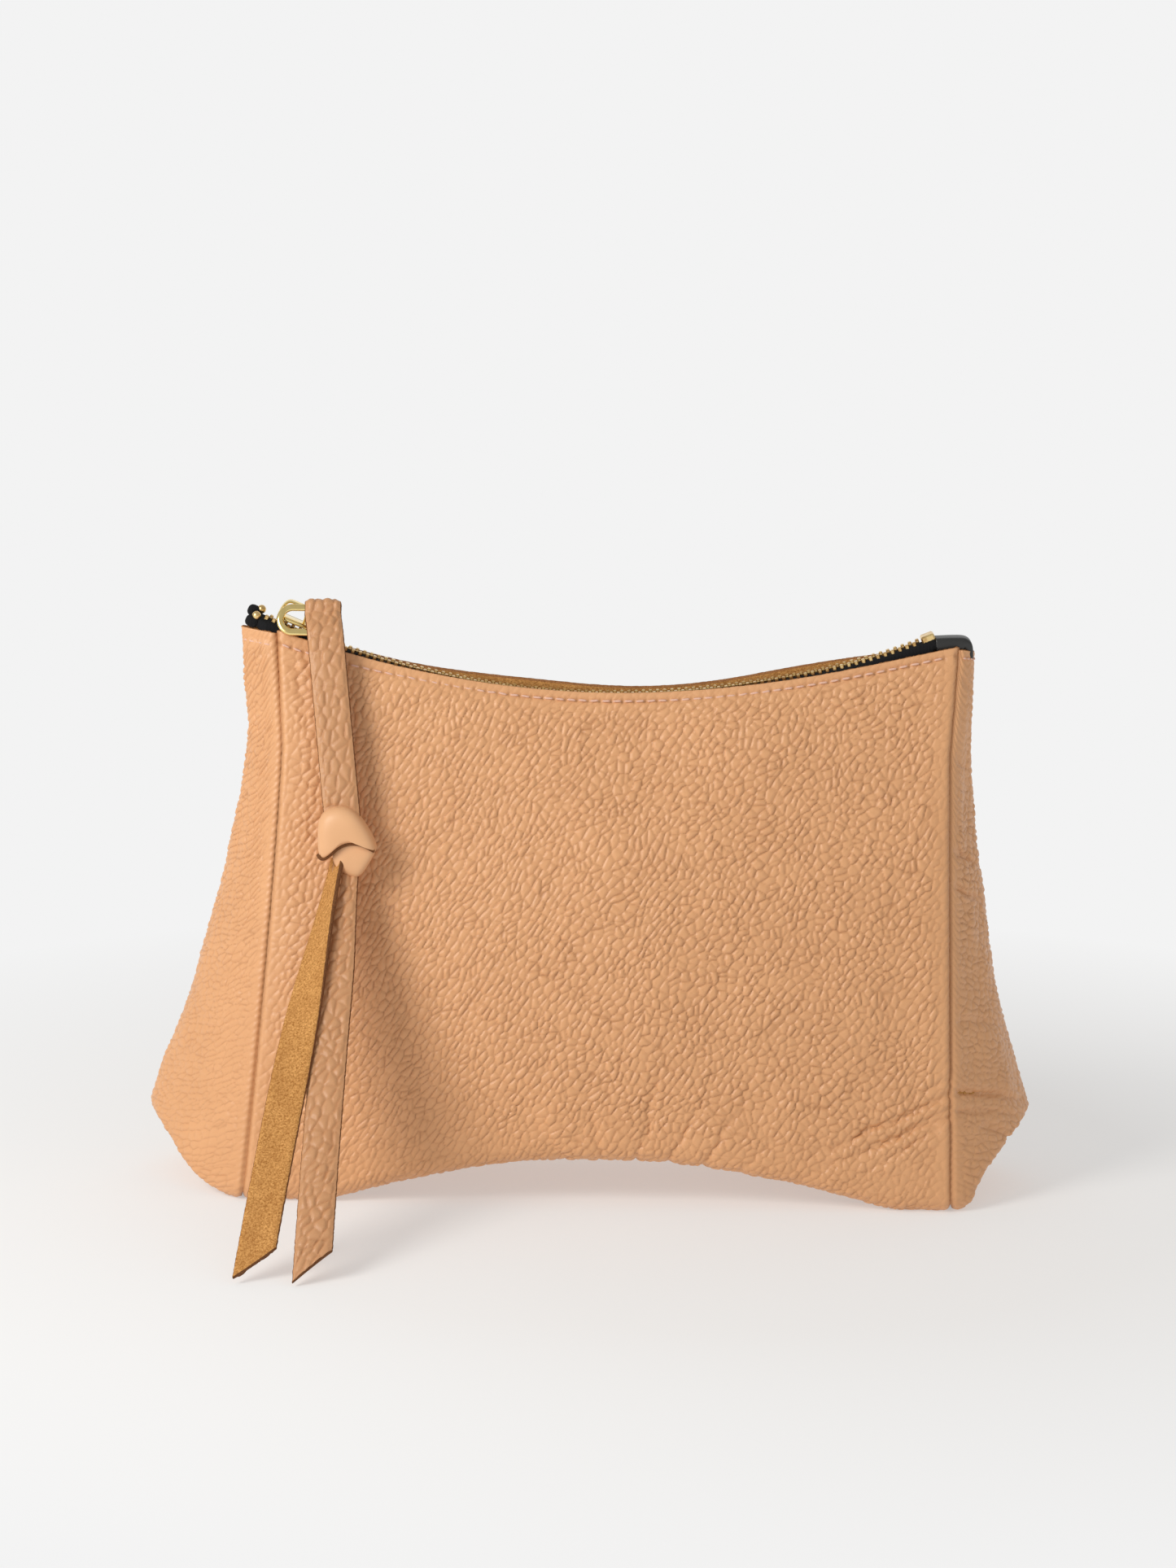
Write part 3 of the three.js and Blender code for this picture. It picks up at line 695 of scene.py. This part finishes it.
def chamfered(low, high, c):
    """Points and faces of a box with cut edges and corners."""
    low, high = np.array(low, float), np.array(high, float)
    bm = bmesh.new()
    bmesh.ops.create_cube(bm, size=1)
    for v in bm.verts:
        v.co = [lerp(l, h, p + 0.5) for l, h, p in zip(low, high, v.co)]
    bmesh.ops.bevel(bm, geom=bm.edges[:], offset=c, segments=1, affect="EDGES")
    bm.verts.index_update()
    points = np.array([v.co[:] for v in bm.verts])
    faces = [[v.index for v in f.verts] for f in bm.faces]
    bm.free()
    return points, faces


def merged(pieces):
    """Several (points, faces) put together."""
    points, faces, start = [], [], 0
    for p, f in pieces:
        points.append(np.asarray(p))
        faces += [[int(i) + start for i in face] for face in f]
        start += len(p)
    return np.concatenate(points), faces


def rounded(values, power):
    """Raises values to a power and keeps their signs, for outlines between an ellipse and a box."""
    return np.sign(values) * np.abs(values) ** power


def ball():
    """Points and faces of a ball of radius 1."""
    u, v = np.meshgrid(np.linspace(0, math.pi, 12), np.linspace(0, 2 * math.pi, 17)[:-1], indexing="ij")
    points = np.stack([np.sin(u) * np.cos(v), np.sin(u) * np.sin(v), np.cos(u)], axis=-1)
    return points.reshape(-1, 3), list(grid_quads(12, 16, closed=True))


def on_zip(points, x):
    """Sets points made at the origin onto the zip's arc."""
    tilt = math.asin(x / ZIP_RADIUS)
    turn = np.array([[math.cos(tilt), 0, -math.sin(tilt)], [0, 1, 0], [math.sin(tilt), 0, math.cos(tilt)]])
    return np.asarray(points) @ turn.T + np.array([x, 0, float(zip_z(x))])


def teeth(name, side, x_from, x_to):
    """A row of cast teeth, each with a wide root round the tape and a narrow head."""
    root, faces_root = chamfered((-0.62, 1.0, -1.2), (0.62, 3.0, 1.2), 0.22)
    head, faces_head = chamfered((-0.5, -0.45, -0.8), (0.5, 1.3, 0.8), 0.2)
    points, faces = merged([(root, faces_root), (head, faces_head)])
    points = points * np.array([1, side, 1])
    if side < 0:
        faces = [f[::-1] for f in faces]
    points, faces = merged([(on_zip(points, x), faces) for x in np.arange(x_from, x_to, TOOTH_PITCH)])
    return make(name, points, [(faces, BRASS_MAT)], angle=30)


def bead(name, x, y, lift):
    """Round top stop clamped on the tape's end."""
    points, faces = ball()
    points = points * np.array([1.5, 1.45, 1.5]) + np.array([0, y, lift])
    return make(name, on_zip(points, x), [(faces, BRASS_MAT)])


# ---------------------------------------------------------------- slider, ring and tab
def plate(outline, low, high, bevel):
    """A flat piece of a rounded outline with rounded edges."""
    bm = bmesh.new()
    ring = [bm.verts.new((x, y, low)) for x, y in outline]
    face = bm.faces.new(ring)
    top = bmesh.ops.extrude_face_region(bm, geom=[face])
    for v in [g for g in top["geom"] if isinstance(g, bmesh.types.BMVert)]:
        v.co.z = high
    bmesh.ops.recalc_face_normals(bm, faces=bm.faces[:])
    rim = [e for e in bm.edges if abs(e.verts[0].co.z - e.verts[1].co.z) < 1e-6]
    bmesh.ops.bevel(bm, geom=rim, offset=bevel, segments=3, profile=0.5, affect="EDGES")
    bm.verts.index_update()
    points = np.array([v.co[:] for v in bm.verts])
    faces = [[v.index for v in f.verts] for f in bm.faces]
    bm.free()
    return points, faces


def slider():
    """Slider body: two shaped plates joined by a post, with a bent bridge on top."""
    t = np.linspace(0, 2 * math.pi, 41)[:-1]
    wide = 3.9 - 0.5 * np.cos(t)
    outline = np.stack([7 * rounded(np.cos(t), 0.6), wide * rounded(np.sin(t), 0.6)], axis=1)
    lower = outline * np.array([1, 0.7])
    top, under = plate(outline, 2.0, 3.4, 0.45), plate(lower, -3.3, -2.4, 0.3)
    post = chamfered((-6.6, -0.5, -2.7), (-4.2, 0.5, 2.4), 0.15)
    s = np.linspace(-1, 1, 41)
    rise = 5.4 * (1 - np.abs(s) ** 4) ** 0.6
    line = np.stack([-2.4 + 4.4 * rounded(s, 0.8), 0 * s, 3.2 + rise], axis=1)
    tangent = np.gradient(line, axis=0)
    tangent /= np.linalg.norm(tangent, axis=1, keepdims=True)
    sideways = np.array([0, 1.0, 0])
    normal = np.cross(sideways, tangent)
    a = np.linspace(0, 2 * math.pi, 13)[:-1]
    section = np.stack([2.3 * np.cos(a), 0.6 * np.sin(a)], axis=1)
    points = line[:, None] + section[None, :, :1] * sideways + section[None, :, 1:] * normal[:, None]
    bridge = (points.reshape(-1, 3), list(grid_quads(41, 12, closed=True)))
    points, faces = merged([top, under, post, bridge])
    return make("slider", on_zip(points, SLIDER_X), [(faces, GOLD_MAT)], angle=40)


def middle_of(name):
    """The middle of a frame node's box, in mm."""
    low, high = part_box(name)
    return (np.array((low + high) / 2) - np.array([0, MIDDLE_Y, 0])) / MM


RING_LENGTH = 20.6
RING_HANG = np.array([-4.1, -3.6, -4.7])  # how far the ring hangs from the frame's one
RING_CENTRE = middle_of("puller_loop") + RING_HANG
RING_HALF = 4.3  # half the ring's width between bar centres
RING_ACROSS = np.array([0, 0.466, 0.885])  # from its lower bar to its upper one
BAR = RING_CENTRE + RING_HALF * RING_ACROSS  # middle of the upper bar
LOW_BAR = RING_CENTRE - RING_HALF * RING_ACROSS


def ring():
    """Oval pull ring of flattened wire."""
    reach = RING_LENGTH / 2 - 1.2 - RING_HALF
    a = np.linspace(0, 2 * math.pi, 97)[:-1]
    cx = np.clip(np.cos(a) * 40, -1, 1) * reach
    flat = np.stack([cx + RING_HALF * np.cos(a), RING_HALF * np.sin(a)], axis=1)
    centre = RING_CENTRE + flat[:, :1] * np.array([1, 0, 0]) + flat[:, 1:] * RING_ACROSS
    out = np.cos(a)[:, None] * np.array([1, 0, 0]) + np.sin(a)[:, None] * RING_ACROSS
    up = np.cross(np.array([1.0, 0, 0]), RING_ACROSS)
    b = np.linspace(0, 2 * math.pi, 17)[:-1]
    section = np.stack([1.2 * rounded(np.cos(b), 0.8), 0.75 * np.sin(b)], axis=1)
    points = centre[:, None] + section[None, :, :1] * out[:, None] + section[None, :, 1:] * up
    quads = grid_quads(len(a) + 1, len(b), flip=True, closed=True) % (len(a) * len(b))
    return make("pull_ring", points.reshape(-1, 3), [(quads, GOLD_MAT)])


def end_tab():
    """Black leather tab folded over the end of the zip, its rounded end bent down."""
    t = np.linspace(0, 1, 40)
    x = 109.6 + 9.6 * np.minimum(t / 0.62, 1) + 1.4 * np.sin(np.clip((t - 0.62) / 0.38, 0, 1) * math.pi / 2)
    z = 185.6 + 0.4 * np.sin(t * 3) - 4.5 * np.clip((t - 0.55) / 0.45, 0, 1) ** 2
    half = 4.3 - 1.2 * smooth(0.55, 1, t)
    line = np.stack([x, 0 * x, z], axis=1)
    tangent = np.gradient(line, axis=0)
    tangent /= np.linalg.norm(tangent, axis=1, keepdims=True)
    normal = np.cross(tangent, np.array([0, 1.0, 0]))
    a = np.linspace(0, 2 * math.pi, 33)[:-1]
    edge = np.stack([rounded(np.cos(a), 0.35), 2.4 * rounded(np.sin(a), 0.5)], axis=1)
    sections = edge[None] * np.stack([half, 1 - 0.3 * smooth(0.5, 1, t)], axis=1)[:, None]
    across = np.broadcast_to(np.array([0, 1.0, 0]), line.shape)
    return ribbon("zip_end_cover", line, across, normal, sections, TAB_MAT)


def tape_end(name, side, x, drop):
    """Folded end of a tape beyond its top stop."""
    points, faces = ball()
    points = rounded(points, 0.75) * np.array([2.3, 1.8, 2.0]) + np.array([0, side * 1.8, 0.7 - drop])
    return make(name, on_zip(points, x), [(faces, TAPE_MAT)])


# ---------------------------------------------------------------- strap, knot and tails
KNOT = middle_of("strap_knot") + np.array([1.6, 0, -3.6])


def frames(line):
    """Directions along, across and out of a ribbon that lies along a line, its width kept level."""
    along = np.gradient(line, axis=0)
    along /= np.linalg.norm(along, axis=1, keepdims=True)
    across = np.array([1.0, 0, 0]) - along[:, :1] * along
    across /= np.linalg.norm(across, axis=1, keepdims=True)
    return along, across, np.cross(across, along)


def even(line, count):
    """A line resampled at even steps, and its length."""
    length = np.r_[0, np.cumsum(np.linalg.norm(np.diff(line, axis=0), axis=1))]
    at = np.linspace(0, length[-1], count)
    return np.stack([np.interp(at, length, line[:, k]) for k in range(3)], axis=1), length[-1]


def sampled(values, t):
    """Rows of values read at shares t of their run."""
    at = np.linspace(0, 1, len(values))
    return np.stack([np.interp(t, at, values[:, k]) for k in range(3)], axis=-1)


def band(name, line, width, seed, twist=0.0, slant=0.0, cup=0.4):
    """A flat strap with grain on its outer face, suede on the other and raw edges."""
    line, length = even(line, 300)
    along, across, out = frames(line)
    twist = np.broadcast_to(twist, 300)[:, None]
    across, out = across * np.cos(twist) + out * np.sin(twist), out * np.cos(twist) - across * np.sin(twist)
    width = np.broadcast_to(width, 300)
    top = np.linspace(-0.5, 0.5, int(STRAP_WIDTH / (FINE * 0.9)) + 1)
    low = np.linspace(0.5, -0.5, 9)
    half = STRAP_THICK / 2
    s = np.r_[top, 0.515, 0.52, 0.515, low, -0.515, -0.52, -0.515]
    o = np.r_[0 * top + half, half * 0.6, 0, -half * 0.6, 0 * low - half, -half * 0.6, 0, half * 0.6]
    rows = int(length / (FINE * 1.1))
    r = np.linspace(0, 1, rows)[:, None]
    cut = s + 0.5 if slant > 0 else 0.5 - s
    t = r * (1 - abs(slant) * cut[None, :] / length)
    w = np.interp(t, np.linspace(0, 1, 300), width)
    sideways = s[None, :] * w
    flat = np.stack([sideways, t * length], axis=-1)
    grain, crease = pebbles(flat[..., 0], flat[..., 1], 3.1, 4.2, 68, seed, 0.7)
    is_top = np.r_[np.ones(len(top), bool), np.zeros(len(s) - len(top), bool)]
    faint = smooth(0.5, 0.38, np.abs(s))[None, :] * is_top[None, :]
    frayed = 0.25 * (lattice(t * length * 1.5, s[None, :] * 3 + 9, seed + 5) - 0.5) * (np.abs(s) > 0.49)
    lift = o[None, :] + grain * faint - cup * (2 * s[None, :]) ** 2
    points = sampled(line, t) + (sideways + frayed)[..., None] * sampled(across, t)
    points = points + lift[..., None] * sampled(out, t)
    columns = len(s)
    quads = grid_quads(rows, columns, closed=True)
    column = quads[:, 0] % columns
    n = len(top)
    on_top = column < n - 1
    on_low = (column >= n + 3) & (column < n + 3 + len(low) - 1)
    ends = [np.arange(columns)[::-1], np.arange((rows - 1) * columns, rows * columns)]
    flats = np.concatenate([flat, np.zeros((*flat.shape[:2], 1))], axis=-1).reshape(-1, 3)
    # painted shade in the creases of the grain face
    painted_shade = (crease * faint).ravel()
    parts = [
        (quads[on_top], STRAP_MAT), (quads[on_low], SUEDE_MAT),
        (quads[~on_top & ~on_low], DARK_EDGE_MAT), (ends, DARK_EDGE_MAT),
    ]
    return make(name, points.reshape(-1, 3), parts, {"flat": flats, "painted_shade": painted_shade})


def strap_loop():
    """The doubled strap, from the knot up over the ring's upper bar and back down behind itself."""
    bar = np.array([STRAP_X, BAR[1], BAR[2]])
    gap = 0.95
    foot = np.array([KNOT[0] - 1.2, KNOT[1] + 0.5, KNOT[2] + 4])
    over = np.array([lerp(STRAP_X, foot[0], 0.14), LOW_BAR[1] - 3.1, LOW_BAR[2]])
    start_at = bar + np.array([0, -1.5, -2.2])
    t = np.linspace(0, 1, 60)[:, None]
    hang = lerp(foot, over, t) + 0.8 * np.sin(math.pi * t) * np.array([0, -0.9, 0.3])
    middle = np.concatenate([hang, lerp(over, start_at, t[5:])])
    for _ in range(30):
        middle[1:-1] = (middle[:-2] + 2 * middle[1:-1] + middle[2:]) / 4
    run = np.gradient(middle, axis=0)
    run /= np.linalg.norm(run, axis=1, keepdims=True)
    front_way = np.stack([0 * run[:, 0], -run[:, 2], run[:, 1]], axis=1)
    start = math.atan2(front_way[-1, 2], front_way[-1, 1])
    turn = np.linspace(start - 0.3, start - math.pi + 0.3, 24)[:, None]
    turned = bar + 1.95 * (np.cos(turn) * np.array([0, 1.0, 0]) + np.sin(turn) * np.array([0, 0, 1.0]))
    line = np.concatenate([middle + gap * front_way, turned, (middle - gap * front_way)[::-1]])
    return band("pull_strap_loop", line, STRAP_WIDTH - 0.4, 61)


def tail_line(start, end, sag, bow):
    t = np.linspace(0, 1, 80)[:, None]
    return lerp(np.array(start), np.array(end), t) + np.sin(math.pi * t) * np.array([bow, 0, -sag])


def tails():
    """The strap's two ends below the knot: the right one shows its grain and the left one its suede."""
    t = np.linspace(0, 1, 300)
    foot = KNOT + np.array([0, 0, -7.0])
    floor_y = (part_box("strap_tail_right")[0].y - MIDDLE_Y) / MM
    right_line = tail_line(foot + np.array([-0.2, 1.0, 0]), (-88.8, floor_y + 1.5, 1.7), 6.0, -1.0)
    right_width = lerp(8.5, 11.6, smooth(0.0, 0.3, t))
    right_twist = math.pi - 0.12 * (1 - t)
    right_tail = band("tail_grain", right_line, right_width, 62, right_twist, -TAIL_SLANT, 0.35)
    left_line = tail_line(foot + np.array([-2.5, 2.0, 2.0]), (-107.4, floor_y + 2.5, 1.9), 6.0, -2.2)
    left_width = lerp(9.0, 11.8, smooth(0.0, 0.4, t))
    left_twist = -1.0 * (1 - smooth(0.0, 0.6, t)) - 0.08
    left_tail = band("tail_suede", left_line, left_width, 63, left_twist, TAIL_SLANT, 0.3)
    return left_tail, right_tail


def pillow(outline, depth_front, depth_back, power, tilt=(0, 0)):
    """A stuffed-looking closed piece of a smooth outline in x and z, centred on the knot."""
    corners = np.array(outline, float)
    n = len(corners)
    t = np.linspace(0, n, 16 * n, endpoint=False)
    i = t.astype(int)
    f = (t - i)[:, None]
    p = [corners[(i + k - 1) % n] for k in range(4)]
    b = ((1 - f) ** 3, 3 * f**3 - 6 * f**2 + 4, -3 * f**3 + 3 * f**2 + 3 * f + 1, f**3)
    curve = sum(w * q for w, q in zip(b, p)) / 6
    centre = curve.mean(0)
    share = np.sin(np.linspace(0, 1, 22)[:-1] * math.pi / 2)[::-1]
    rows = []
    for side, depth in ((-1, depth_front), (1, depth_back)):
        rings = []
        for r in share:
            flat = centre + (curve - centre) * r
            y = side * depth * (1 - r**power) ** (1 / power) + 0 * flat[:, 0]
            y = y + tilt[0] * (flat[:, 0] - centre[0]) + tilt[1] * (flat[:, 1] - centre[1])
            rings.append(np.stack([flat[:, 0], y, flat[:, 1]], axis=1))
        rows += rings[::-1] if side < 0 else rings
    grid = np.array(rows)
    count, columns = grid.shape[:2]
    faces = list(grid_quads(count, columns, closed=True))
    faces += [np.arange(columns)[::-1], np.arange((count - 1) * columns, count * columns)]
    points = grid.reshape(-1, 3)
    return points + KNOT, faces, points[:, [0, 2, 1]], curve - centre, centre


def knot():
    """The knot: a barrel-like wrap with a raw lower edge over a tucked-in pentagon."""
    wrap = [
        (-9.6, 8.2), (-5.4, 12.0), (1.6, 12.0), (6.2, 6.4), (9.8, 0.2), (10.2, -3.0), (6.6, 0.0), (1.0, 0.9),
        (-3.6, -1.4), (-7.4, -5.8), (-9.4, -4.4), (-9.6, 1.5),
    ]
    tuck = [
        (-5.4, -1.6), (0.0, 2.6), (6.0, 3.0), (10.6, -1.6),
        (8.2, -5.6), (4.8, -11.6), (1.6, -11.6), (-4.4, -8.4),
    ]
    first = pillow(wrap, 6.2, 4.6, 3.6, (-0.04, 0.1))
    second = pillow(tuck, 4.4, 3.2, 3.6, (-0.05, 0.12))
    points, faces = merged([first[:2], second[:2]])
    flats = np.concatenate([first[2], second[2]])
    body = make("knot", points, [(faces, KNOT_MAT)], {"flat": flats, "painted_shade": np.zeros(len(points))})
    rim = first[3][16 * 5:16 * 10] * 0.985 + first[4]
    lower = np.stack([rim[:, 0], -3.4 - 0.1 * rim[:, 1], rim[:, 1]], axis=1)
    a = np.linspace(0, 2 * math.pi, 13)[:-1]
    outline = np.stack([1.0 * np.cos(a), 1.5 * np.sin(a)], axis=1)
    along = np.gradient(lower, axis=0)
    along /= np.linalg.norm(along, axis=1, keepdims=True)
    across = np.cross(along, np.array([0, 1.0, 0]))
    across /= np.linalg.norm(across, axis=1, keepdims=True)
    edge = ribbon("knot_raw_edge", lower + KNOT, across, np.cross(across, along), outline, DARK_EDGE_MAT)
    return body, edge


# ---------------------------------------------------------------- put together
front_stitches, back_stitches = stitches("front_stitches", -1), stitches("back_stitches", 1)
front_tape, back_tape = tape("front_tape", -1, -118.5, 109.5), tape("back_tape", 1, -118.5, 104.5)
front_teeth, back_teeth = teeth("front_teeth", -1, -113.4, 105.0), teeth("back_teeth", 1, -112.2, 104.0)
front_bead, back_bead = bead("front_bead", -116.5, -2.3, -0.4), bead("back_bead", -115.9, 2.0, 1.5)
front_end, back_end = tape_end("front_tape_end", -1, -117.0, 3.5), tape_end("back_tape_end", 1, -117.7, 0.7)
stop_points, stop_faces = chamfered((-2.3, -3.2, -1.9), (2.3, 3.2, 1.9), 0.5)
stop = make("zip_bottom_stop", on_zip(stop_points, 107.2), [(stop_faces, BRASS_MAT)], angle=30)
body_slider, pull_ring, tab = slider(), ring(), end_tab()
strap = strap_loop()
left_tail, right_tail = tails()
knot_body, knot_edge = knot()

RIDES = {
    "pouch": [front, bottom, front_stitches, front_tape, front_teeth, front_bead, front_end, stop, tab],
    "back_wall": [back, back_stitches, back_tape, back_teeth, back_bead, back_end],
    "slider": [body_slider],
    "puller": [pull_ring],
    "strap": [strap, left_tail, right_tail, knot_body, knot_edge],
}
for body, pieces in RIDES.items():
    for piece in pieces:
        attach(piece, body)
for piece in (left, right):
    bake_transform(piece)

STANDS_FOR = [
    (front, "leather", "front_panel"),
    (back, "leather", "back_panel"),
    (bottom, "leather", "base_panel"),
    (left, "leather", "left_gusset"),
    (right, "leather", "right_gusset"),
    (front_stitches, "thread", "front_topstitch"),
    (back_stitches, "thread", "back_topstitch"),
    (front_tape, "zip_tape", "front_zip_tape"),
    (back_tape, "zip_tape", "back_zip_tape"),
    (front_teeth, "teeth_brass", "front_zip_teeth"),
    (back_teeth, "teeth_brass", "back_zip_teeth"),
    (front_bead, "teeth_brass", "front_top_stop"),
    (back_bead, "teeth_brass", "back_top_stop"),
    (stop, "teeth_brass", "bottom_stop"),
    (tab, "tab_leather", "zip_end_tab"),
    (body_slider, "slider_gold", "slider_body"),
    (pull_ring, "slider_gold", "puller_loop"),
    (strap, "strap_leather", "pull_strap"),
    (knot_body, "strap_leather", "strap_knot"),
    (left_tail, "strap_leather", "strap_tail_left"),
    (right_tail, "strap_leather", "strap_tail_right"),
]
for piece, slot, cad in STANDS_FOR:
    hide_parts(cad)

# ---------------------------------------------------------------- floor, light and camera
BACKDROP = 0.896


def floor_material(name, centre, near, far):
    """White that takes shadows round the pouch and turns into an even backdrop further out."""
    mat = bpy.data.materials.new(name)
    mat.use_nodes = True
    tree = mat.node_tree
    tree.nodes.clear()
    out = tree.nodes.new("ShaderNodeOutputMaterial")
    diffuse = tree.nodes.new("ShaderNodeBsdfDiffuse")
    diffuse.inputs["Color"].default_value = (0.93, 0.915, 0.893, 1)
    glow = tree.nodes.new("ShaderNodeEmission")
    glow.inputs["Color"].default_value = (BACKDROP, BACKDROP, BACKDROP, 1)
    mix = tree.nodes.new("ShaderNodeMixShader")
    tree.links.new(diffuse.outputs[0], mix.inputs[1])
    tree.links.new(glow.outputs[0], mix.inputs[2])
    tree.links.new(mix.outputs[0], out.inputs["Surface"])
    place = node(mat, "ShaderNodeNewGeometry").outputs["Position"]
    away = node(mat, "ShaderNodeVectorMath", operation="DISTANCE")
    link(mat, place, away.inputs[0])
    away.inputs[1].default_value = centre
    fade = remap(mat, away.outputs["Value"], near, far, 0.44, 1)
    link(mat, fade, mix.inputs[0])
    return mat


def plane(name, corners, mat):
    """One flat face of a material."""
    mesh = bpy.data.meshes.new(name)
    mesh.from_pydata(corners, [], [(0, 1, 2, 3)])
    mesh.materials.append(mat)
    obj = bpy.data.objects.new(name, mesh)
    bpy.context.scene.collection.objects.link(obj)
    return obj


ground = floor_material("backdrop_white", (0.03, MIDDLE_Y, 0), 0.17, 0.42)
floor = plane("floor", [(-3, -2.5, 0), (3, -2.5, 0), (3, 2.5, 0), (-3, 2.5, 0)], ground)
wall = plane("backdrop", [(-3, 2.5, 0), (3, 2.5, 0), (3, 2.5, 3), (-3, 2.5, 3)], ground)


def area_light(name, location, target, size, power):
    """A round, slightly warm light that faces its target."""
    data = bpy.data.lights.new(name, "AREA")
    data.shape = "DISK"
    data.size = size
    data.energy = power
    data.color = (1.0, 0.985, 0.96)
    obj = bpy.data.objects.new(name, data)
    obj.location = location
    aim = Vector(target) - Vector(location)
    obj.rotation_euler = aim.to_track_quat("-Z", "Y").to_euler()
    bpy.context.scene.collection.objects.link(obj)


area_light("key", (-0.66, -0.58, 0.66), (0, MIDDLE_Y, 0.08), 0.42, 5.0)
area_light("near_left", (-0.5, -0.42, 0.32), (0, MIDDLE_Y, 0.1), 0.35, 0.8)
world = bpy.data.worlds.new("soft_sky")
world.use_nodes = True
world.node_tree.nodes["Background"].inputs["Color"].default_value = (1.0, 0.995, 0.985, 1)
world.node_tree.nodes["Background"].inputs["Strength"].default_value = 0.485
bpy.context.scene.world = world
bpy.context.scene.view_settings.view_transform = "Standard"

CAMERA_PITCH = math.radians(10.8)
CAMERA_ROLL = math.radians(1.0)
camera_data = bpy.data.cameras.new("camera")
camera_data.lens = 97.46
camera_data.sensor_width = 36
camera_data.sensor_fit = "AUTO"
camera_data.clip_end = 20
camera = bpy.data.objects.new("camera", camera_data)
level_up = Vector((0, math.sin(CAMERA_PITCH), math.cos(CAMERA_PITCH)))
forward = Vector((0, math.cos(CAMERA_PITCH), -math.sin(CAMERA_PITCH)))
level_right = Vector((1, 0, 0))
right_axis = level_right * math.cos(CAMERA_ROLL) + level_up * math.sin(CAMERA_ROLL)
up_axis = -level_right * math.sin(CAMERA_ROLL) + level_up * math.cos(CAMERA_ROLL)
turned = Matrix((right_axis, up_axis, -forward)).transposed()
camera.matrix_world = Matrix.Translation((-0.0054, MIDDLE_Y - 1.4, 0.403)) @ turned.to_4x4()
bpy.context.scene.collection.objects.link(camera)
bpy.context.scene.camera = camera
